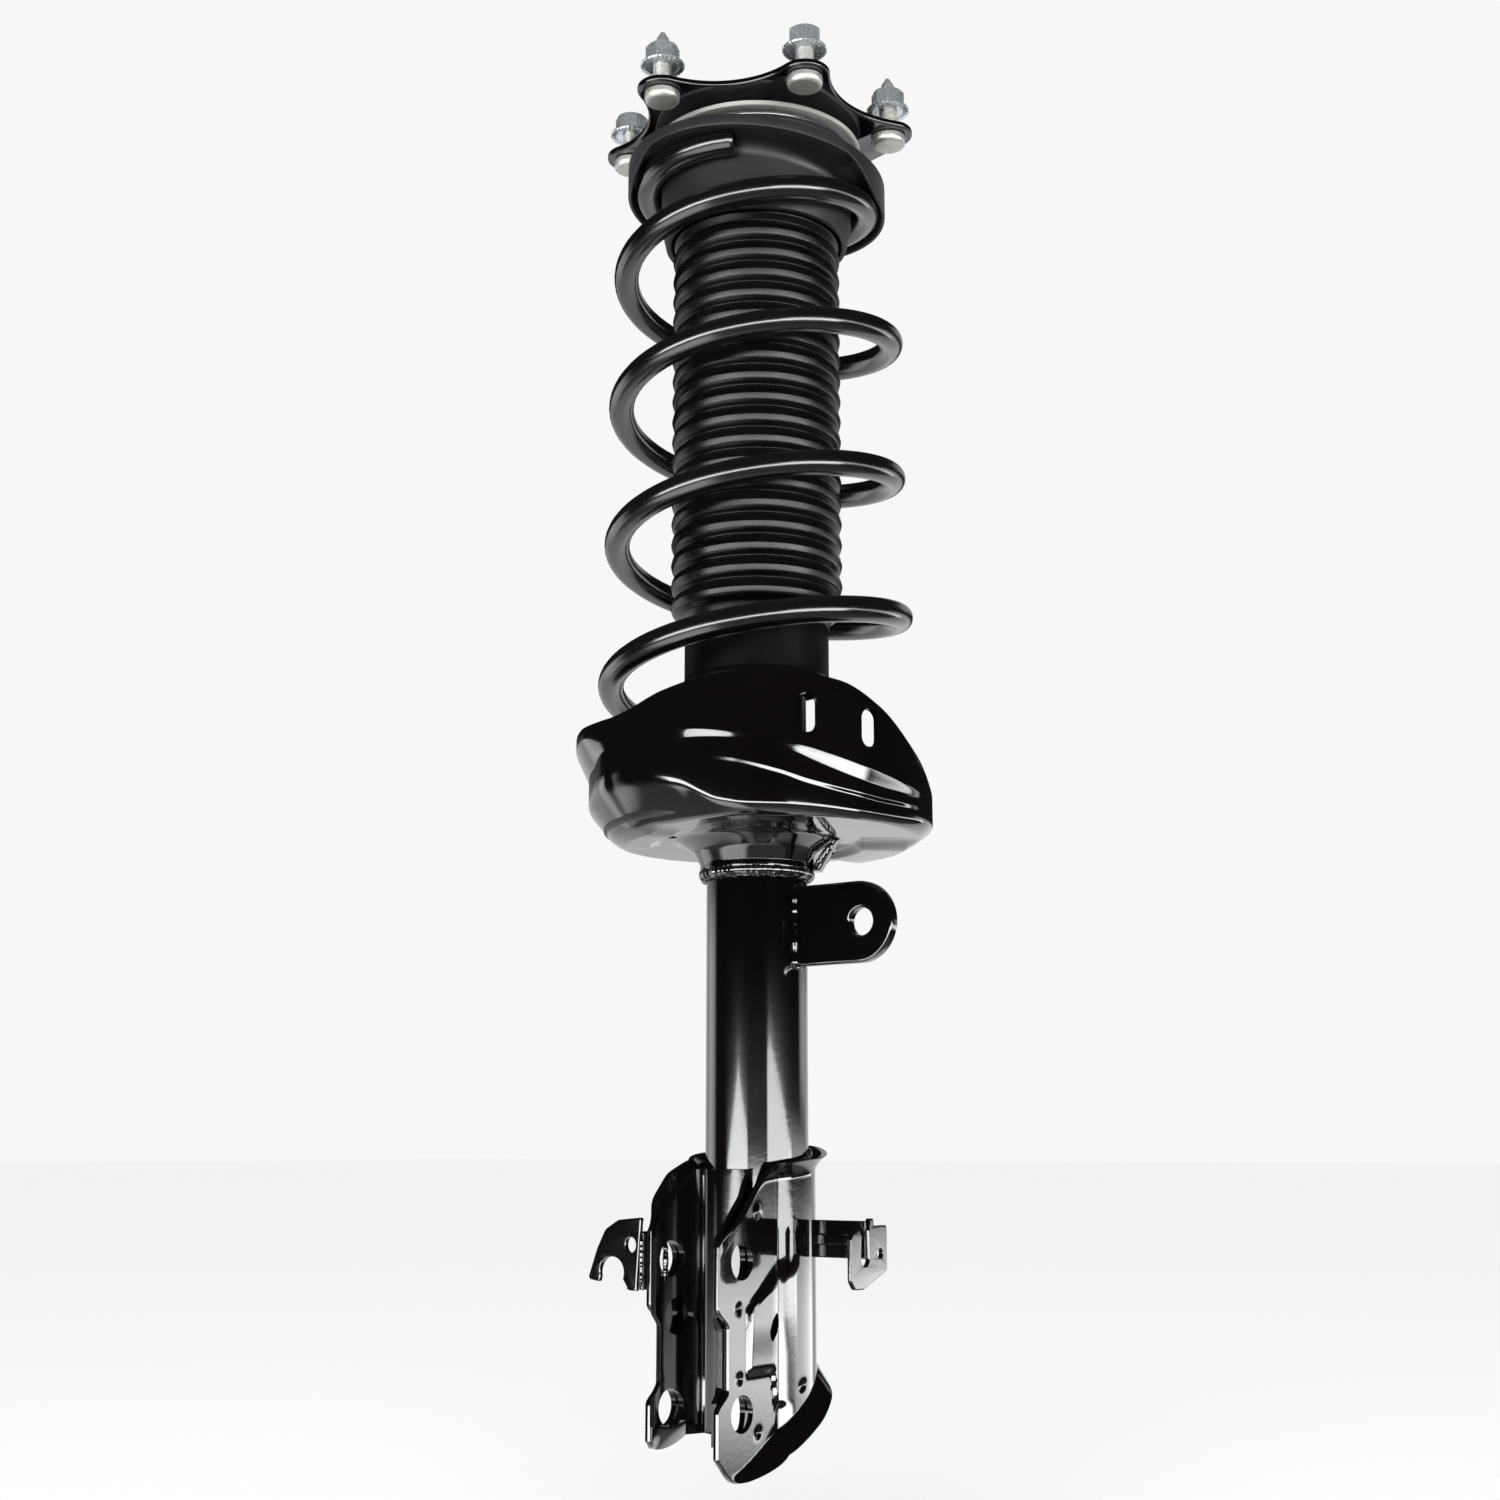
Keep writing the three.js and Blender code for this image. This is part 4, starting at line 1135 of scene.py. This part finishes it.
def waist(z):
    """How far the ears' front edges step back between the two bolts."""
    return 8 * ramp(z, WAIST_BOTTOM, WAIST_BOTTOM + 9) * (1 - ramp(z, WAIST_TOP - 9, WAIST_TOP))


def bolt_cutters():
    return [
        prism("bolt", circle(BOLT_HOLE_RADIUS, (BOLT_Y, z), 48), -40, 40, turn=FACE_X)
        for z in BOLT_HEIGHTS
    ]


def bracket_plan(distance):
    """Place, outward direction and flare direction of the wrap, by distance round it from +Y."""
    wrap_angle = math.pi / 2 + math.asin(-WRAP_END_Y / WRAP_RADIUS)
    wrap_length = wrap_angle * WRAP_RADIUS
    side = -1 if distance < 0 else 1
    reach = abs(distance)
    angle = min(reach / WRAP_RADIUS, wrap_angle)
    x = WRAP_RADIUS * math.sin(angle)
    y = WRAP_RADIUS * math.cos(angle)
    out = Vector((side * math.sin(angle), math.cos(angle), 0))
    beyond = reach - wrap_length
    if beyond > 0:
        x += (EAR_OUTER - x) * ramp(beyond, 0, 1.5)
        y -= beyond
        out = out.lerp(Vector((side, 0, 0)), ramp(beyond, -0.5, 1.5)).normalized()
    flare = Vector((side * math.sin(angle), math.cos(angle), 0))
    flare = flare.lerp(Vector((side, 0, 0)), ramp(beyond, -20, 14)).normalized()
    return Vector((side * x, y, 0)), out, flare


def blob(value, centre, width):
    return math.exp(-((value - centre) / width) ** 2)


def ear_relief(distance, y, z):
    """Pressed features of the near ear, outwards in millimetres."""
    if distance < 40:
        return 0.0
    roof = -617 + (y + 41) * 0.82
    slope = 2.4 + max(0.0, y + 37) * 0.36
    foot = -644 - 16 * ramp(y, -22.5, -18.5)
    panel = ramp(y, -42.4, -39.6) * ramp(z, foot - 5, foot) * (1 - ramp(z, roof - slope, roof))
    panel *= 0.75 + 0.25 * ramp(z, -644, -622)
    pits = 0.9 * blob(y, -33, 2) * blob(z, -574, 2)
    for pit_y, pit_z in ((-48, -617.5), (-47, -648.5), (-32.5, -673.5), (-2.7, -655)):
        pits -= 1.0 * blob(y, pit_y, 1.7) * blob(z, pit_z, 1.7)
    return 2.6 * panel * (1 - ramp(y, -25, -8)) + pits


def make_bracket():
    def surface(across, up, depth):
        distance = NEAR_LENGTH - (FAR_LENGTH + NEAR_LENGTH) * across
        top = along(BRACKET_TOP, distance)
        bottom = along(BRACKET_BOTTOM, distance)
        z = bottom + (top - bottom) * up
        limit = NEAR_LENGTH if distance > 0 else FAR_LENGTH
        share = ramp(abs(distance), 66, limit)
        pulled = distance - math.copysign(waist(z) * share, distance)
        place, out, flare = bracket_plan(pulled)
        free = limit - abs(distance)
        fade = ramp(free, 1, 12)
        above = 6.0 * max(0.0, 1 - (top - z) / 8.0) ** 1.7
        tall = along(LIP_TALL, distance)
        below = along(LIP_REACH, distance) * max(0.0, 1 - (z - bottom) / tall) ** 1.2
        below *= ramp(distance + FAR_LENGTH, 1, 12)
        height = ear_relief(pulled, place.y, z) - depth * EAR_SHEET
        return place + out * height + flare * (above * fade + below) + Vector((0, 0, z))

    pressing = sheet("knuckle_bracket_detail", surface, 181, 131, False)
    soften(pressing, 0.8, 60)
    leaf = rounded([(-26.5, -629.5, 3), (-24.5, -624, 3), (-19.5, -619.5, 1.5), (-18, -625.5, 3),
                    (-19.5, -630, 3), (-24.5, -634.5, 1.5)])
    cut(pressing, *bolt_cutters(), prism("leaf", leaf, 15, 40, turn=FACE_X))
    dress(pressing, "knuckle_bracket", "black_enamel")
    make_channel()
    make_bracket_welds()


def make_channel():
    low, high = limits("bracket_reinforcement")
    leg = 18
    near_edge = -60.5
    far_edge = -56.5

    def bend(radius, angles):
        turns = [math.radians(angle) for angle in angles]
        return [(radius * math.cos(turn), radius * math.sin(turn), 0) for turn in turns]

    front = bend(28.7, range(-66, -116, -4))
    back = bend(26.0, range(-114, -64, 4))
    corners = [
        (leg, near_edge, 0), (leg, -40.5, 5), (12.6, -27.2, 2.5), *front,
        (-12.6, -27.2, 2.5), (-leg, -40.5, 5),
        (-leg, far_edge, 0), (-leg - 2.7, far_edge, 0), (-leg - 2.7, -39.6, 6), (-14.6, -24.2, 3), *back,
        (14.6, -24.2, 3), (leg + 2.7, -39.6, 6), (leg + 2.7, near_edge, 0),
    ]
    outline = rounded(corners, steps=6)
    levels = np.linspace(low.z, high.z, 40)
    rings = [[(x, y, z) for x, y in outline] for z in levels]
    channel = loft("bracket_reinforcement_detail", rings)

    def notch(edge):
        step = [(edge, WAIST_TOP), (edge + 8, WAIST_TOP - 9), (edge + 8, WAIST_BOTTOM + 9),
                (edge, WAIST_BOTTOM), (-95, WAIST_BOTTOM), (-95, WAIST_TOP)]
        return rounded([(y, z, 4) for y, z in step[:4]] + [(y, z, 0) for y, z in step[4:]])

    near_trim = [(-28.4, -540), (-90, -540), (-90, -597), (-70, -597), (-36, -562.5), (-28.4, -557.3)]
    far_trim = [(-27, -540), (-90, -540), (-90, -640), (-61, -589), (-31, -556)]
    far_foot = [(-29, -670), (-29, -700), (-90, -700), (-90, -672), (-61, -672)]
    cutters = bolt_cutters()
    for name, shape, start, end in (
        ("far_waist", notch(-60.3), -40, 0), ("near_waist", notch(-64.3), 0, 40),
        ("near_trim", near_trim, 0, 40), ("far_trim", far_trim, -40, 0), ("far_foot", far_foot, -40, -16),
    ):
        cutters.append(prism(name, shape, start, end, turn=FACE_X))
    for side in (-1, 1):
        relief = prism("relief", circle(8.5, (-40.5, -623)), 10, 30, turn=FACE_X)
        if side < 0:
            relief.data.transform(Matrix.Scale(-1, 4, (1, 0, 0)))
            relief.data.flip_normals()
        cutters.append(relief)
    cut(channel, *cutters)
    soften(channel, 0.5, 55, 2)
    dress(even(channel), "bracket_reinforcement", "black_enamel")


def make_bracket_welds():
    tube = radius_of("strut_tube")
    path = []
    outward = []
    for degrees in np.arange(-20, 201, 2.0):
        direction = polar(1, degrees)
        distance = (90 - degrees) / 360 * FULL_TURN * WRAP_RADIUS
        path.append(direction * (tube + 1.2) + Vector((0, 0, along(BRACKET_TOP, distance) - 1.0)))
        outward.append(direction)
    weld("bracket_top_weld", path, outward, 3.0)
    path = line(Vector((-17.4, -50, -588)), Vector((-17.4, -50, -607)))
    weld("ear_weld_far", path, [Vector((1, 0, 0))] * len(path), 3.0)


# Brake hose and sensor cable holders


def make_holders():
    ear = EAR_OUTER + 0.3
    notch = arc(7.3, math.pi + 0.25, -0.4, 24, (-43.5, -603))
    outer = rounded([(-ear, -577, 1), (-40, -578.5, 4), (-48, -583, 6), (-53, -592, 6),
                     (-58.5, -606.5, 1.6), (-51.5, -607.5, 1)])
    outline = outer + notch + rounded([(-35.6, -609.5, 1), (-32.6, -611, 1), (-ear, -611, 1)])
    hole = [
        (-32 + 3.0 * math.cos(a), -590 + 3.6 * math.sin(a))
        for a in np.linspace(0, FULL_TURN, 24, False)
    ]
    hook = plate("brake_hose_bracket_detail", outline, [hole], -58.5, -56, 0.6, FACE_Y)
    foot_outline = rounded([(-58.5, -610.5, 1), (-54, -610.5, 1), (-54, -583.5, 1), (-58.5, -583.5, 1)])
    foot = plate("foot", foot_outline, [], -ear - 2.5, -ear, 0.6, FACE_X)
    join(hook, foot)
    dress(even(hook), "brake_hose_bracket", "black_enamel")
    path = line(Vector((-ear - 0.4, -59.3, -585)), Vector((-ear - 0.4, -59.3, -609)))
    weld("hose_bracket_weld", path, [Vector((-1, -1, 0))] * len(path), 2.6)

    low, high = limits("sensor_cable_bracket")
    slot = arc(3.5, 0, -math.pi, 17, (0.5, -596))
    outline = rounded([
        (-3, -585, 0.8), (-4, -582.5, 1), (-9.5, -584, 1), (low.y, -586.5, 1.5), (low.y, -606, 3),
        (-8, low.z, 3), (-1, low.z, 3), (high.y, -602, 2), (high.y, -581, 1.5), (8.6, -581, 1),
        (8.2, -577.6, 1), (4.6, -577.6, 1), (4, -583, 0.8),
    ])
    outline = outline + slot
    hole = circle(2.2, (13.6, -594), 24)
    face = plate("sensor_cable_bracket_detail", outline, [hole], 60, 62.5, 0.55, FACE_X)
    strap = plate("strap", rounded([(low.x, -596.3, 0.5), (60.6, -596.3, 0.5), (60.6, -578.8, 0.5),
                                    (low.x, -578.8, 0.5)]), [], 3.8, 6.2, 0.5, FACE_Y)
    rib = plate("rib", rounded([(low.x + 2, -590.5, 1.2), (58, -590.5, 1.2), (58, -585, 1.2),
                                (low.x + 2, -585, 1.2)]), [], 3.0, 4.6, 0.7, FACE_Y)
    join(face, strap, rib)
    dress(even(face), "sensor_cable_bracket", "black_enamel")


def join(piece, *others):
    """Adds other meshes to a piece as parts of the same pressing."""
    work = bmesh.new()
    work.from_mesh(piece.data)
    for other in others:
        work.from_mesh(other.data)
        bpy.data.objects.remove(other)
    work.to_mesh(piece.data)
    work.free()
    shade(piece, 40)
    return piece


def make_neck_weld():
    tube = radius_of("strut_tube")
    bottom = limits("lower_spring_seat")[0].z
    degrees = np.arange(0, 360, 1.5)
    outward = [polar(1, angle) for angle in degrees]
    path = [direction * (tube + 1.3) + Vector((0, 0, bottom - 1.2)) for direction in outward]
    weld("neck_weld", path, outward, 6.4, closed=True, flatten=0.75)
    along_rib = polar(1, GUSSET_ANGLE)
    across_rib = polar(1, GUSSET_ANGLE + 90)
    for index, side in enumerate((-1, 1)):
        start = along_rib * 31 + across_rib * side * 5.4 + Vector((0, 0, -406))
        end = along_rib * 40 + across_rib * side * 5.4 + Vector((0, 0, -394.5))
        path = line(start, end)
        weld(f"gusset_weld_{index + 1}", path, [across_rib * side] * len(path), 3.4)


# Pieces inside the damper keep their CAD shapes

INNER_FINISHES = {
    "machined_steel": ["inner_cylinder", "base_valve", "rod_guide", "rebound_stop", "compression_shims",
                       "rebound_shims", "piston"],
    "boot_rubber": ["rod_seal"],
    "band_bronze": ["piston_band"],
    "zinc_plate": ["piston_nut"],
    "black_enamel": ["bump_stop_cup"],
}


def finish_inner_pieces():
    for slot, nodes in INNER_FINISHES.items():
        for node in nodes:
            paint(frame["nodes"][node], slot)


# Camera, floor and light

CAMERA_PLACE = Vector((0.5718, -0.7929, -0.5452))
CAMERA_DIRECTION = Vector((-0.57572, 0.79240, 0.20162))
LENS = 46.49
FLOOR_GAP = 0.075
FLOOR_REACH = 30000


def make_camera():
    data = bpy.data.cameras.new("camera")
    data.lens = LENS
    data.sensor_width = 36
    data.clip_start = 0.01
    data.clip_end = 100
    camera = bpy.data.objects.new("camera", data)
    camera.location = CAMERA_PLACE
    camera.rotation_mode = "QUATERNION"
    camera.rotation_quaternion = CAMERA_DIRECTION.to_track_quat("-Z", "Y")
    bpy.context.scene.collection.objects.link(camera)
    bpy.context.scene.camera = camera


def make_floor():
    height = cad_box[0].z / MM - FLOOR_GAP / MM
    reach = FLOOR_REACH
    floor = solid("floor", [(-reach, -reach, height), (reach, -reach, height), (reach, reach, height),
                            (-reach, reach, height)], [(0, 1, 2, 3)])
    if floor.data.polygons[0].normal.z < 0:
        floor.data.flip_normals()
    paper = bpy.data.materials.new("pale_floor")
    paper.use_nodes = True
    shader = paper.node_tree.nodes["Principled BSDF"]
    shader.inputs["Base Color"].default_value = (0.93, 0.93, 0.935, 1)
    shader.inputs["Roughness"].default_value = 0.9
    shader.inputs["Specular IOR Level"].default_value = 0.0
    floor.data.materials.append(paper)
    floor.visible_glossy = False


class Studio:
    """The world shader: a white room whose bright panels and dark gaps shape the reflections."""

    def __init__(self):
        world = bpy.data.worlds.new("studio")
        bpy.context.scene.world = world
        world.use_nodes = True
        self.tree = world.node_tree
        self.tree.nodes.clear()

    def value(self, operation, first, second=0.0):
        made = self.tree.nodes.new("ShaderNodeMath")
        made.operation = operation
        for socket, given in zip(made.inputs, (first, second)):
            if isinstance(given, bpy.types.NodeSocket):
                self.tree.links.new(given, socket)
            else:
                socket.default_value = given
        return made.outputs[0]

    def step(self, given, start, end):
        made = self.tree.nodes.new("ShaderNodeMapRange")
        made.interpolation_type = "SMOOTHSTEP"
        self.tree.links.new(given, made.inputs["Value"])
        made.inputs["From Min"].default_value = start
        made.inputs["From Max"].default_value = end
        return made.outputs["Result"]

    def between(self, given, start, end, soft):
        rise = self.step(given, start - soft, start + soft)
        fall = self.step(given, end + soft, end - soft)
        return self.value("MULTIPLY", rise, fall)

    def total(self, *parts):
        result = parts[0]
        for part in parts[1:]:
            result = self.value("ADD", result, part)
        return result


def make_light():
    studio = Studio()
    tree = studio.tree
    place = tree.nodes.new("ShaderNodeTexCoord")
    turned = tree.nodes.new("ShaderNodeMapping")
    turned.vector_type = "POINT"
    heading = math.atan2(CAMERA_DIRECTION.x, CAMERA_DIRECTION.y)
    turned.inputs["Rotation"].default_value = (0, 0, heading)
    tree.links.new(place.outputs["Generated"], turned.inputs["Vector"])
    split = tree.nodes.new("ShaderNodeSeparateXYZ")
    tree.links.new(turned.outputs["Vector"], split.inputs["Vector"])
    right, ahead, up = split.outputs
    azimuth = studio.value("ARCTAN2", right, studio.value("MULTIPLY", ahead, -1.0))

    def window(left, right, bottom, top, strength, soft=0.05, haze=0.03, peak=0.0, slant=0.0):
        """A bright window between two headings and two heights, lower away from its peak."""
        across = studio.between(azimuth, left, right, soft)
        away = studio.value("ABSOLUTE", studio.value("SUBTRACT", azimuth, peak))
        raised = studio.value("ADD", up, studio.value("MULTIPLY", away, slant))
        rise = studio.step(up, bottom - haze, bottom + haze)
        fall = studio.step(raised, top + haze, top - haze)
        upright = studio.value("MULTIPLY", rise, fall)
        return studio.value("MULTIPLY", studio.value("MULTIPLY", across, upright), strength)

    # A bright table in front with two pointed panels above it, a long window to the right, pale walls
    glossy = studio.total(
        window(-1.24, 1.25, -0.27, -0.085, 17, 0.06, 0.015),
        window(-1.24, -0.37, -0.085, 0.012, 12, 0.03, 0.008, -0.74, 0.16),
        window(0.40, 1.45, -0.085, 0.036, 11, 0.03, 0.008, 0.5, 0.09),
        window(1.35, 2.35, -0.14, -0.045, 6.0, 0.1, 0.04),
        window(1.95, 2.35, 0.0, 0.10, 1.4, 0.08, 0.03),
        window(-2.35, -1.9, -0.5, 0.14, 1.8, 0.12, 0.05),
        window(-1.45, -0.45, -0.95, -0.5, 3.5, 0.12, 0.08),
        window(2.35, 4.0, -2.0, 0.10, 0.9, 0.1, 0.05),
        window(2.35, 4.0, 0.28, 0.50, 0.5, 0.1, 0.06),
        window(-4.0, -2.35, -2.0, 0.16, 0.7, 0.1, 0.06),
        studio.value("MULTIPLY", studio.step(up, -0.20, -0.7), 0.35),
        studio.value("MULTIPLY", studio.step(up, -0.86, -0.97), 0.5),
        0.010,
    )

    rays = tree.nodes.new("ShaderNodeLightPath")
    shiny = rays.outputs["Is Glossy Ray"]
    seen = rays.outputs["Is Camera Ray"]
    plain = studio.value("SUBTRACT", 1.0, shiny)
    plain = studio.value("MULTIPLY", plain, 0.96)
    strength = studio.total(studio.value("MULTIPLY", glossy, shiny), plain)
    strength = studio.value("SUBTRACT", strength, studio.value("MULTIPLY", seen, 0.02))
    background = tree.nodes.new("ShaderNodeBackground")
    background.inputs["Color"].default_value = (0.99, 0.99, 1.0, 1)
    tree.links.new(strength, background.inputs["Strength"])
    output = tree.nodes.new("ShaderNodeOutputWorld")
    tree.links.new(background.outputs["Background"], output.inputs["Surface"])

    lamp = bpy.data.lights.new("soft_box", "AREA")
    lamp.shape = "RECTANGLE"
    lamp.size = 0.9
    lamp.size_y = 0.6
    lamp.energy = 9
    holder = bpy.data.objects.new("soft_box", lamp)
    holder.location = (0.5, -0.9, 0.75)
    aim = Vector((0, 0, -0.15)) - holder.location
    holder.rotation_mode = "QUATERNION"
    holder.rotation_quaternion = aim.to_track_quat("-Z", "Y")
    holder.visible_glossy = False
    bpy.context.scene.collection.objects.link(holder)
    bpy.context.scene.view_settings.view_transform = "Standard"


for make in (
    make_camera, make_top_mount, make_bearing, make_upper_seat, make_boot, make_spring, make_damper,
    make_tube, make_pan, make_neck_weld, make_tab, make_bracket, make_holders, finish_inner_pieces,
    make_floor, make_light,
):
    make()
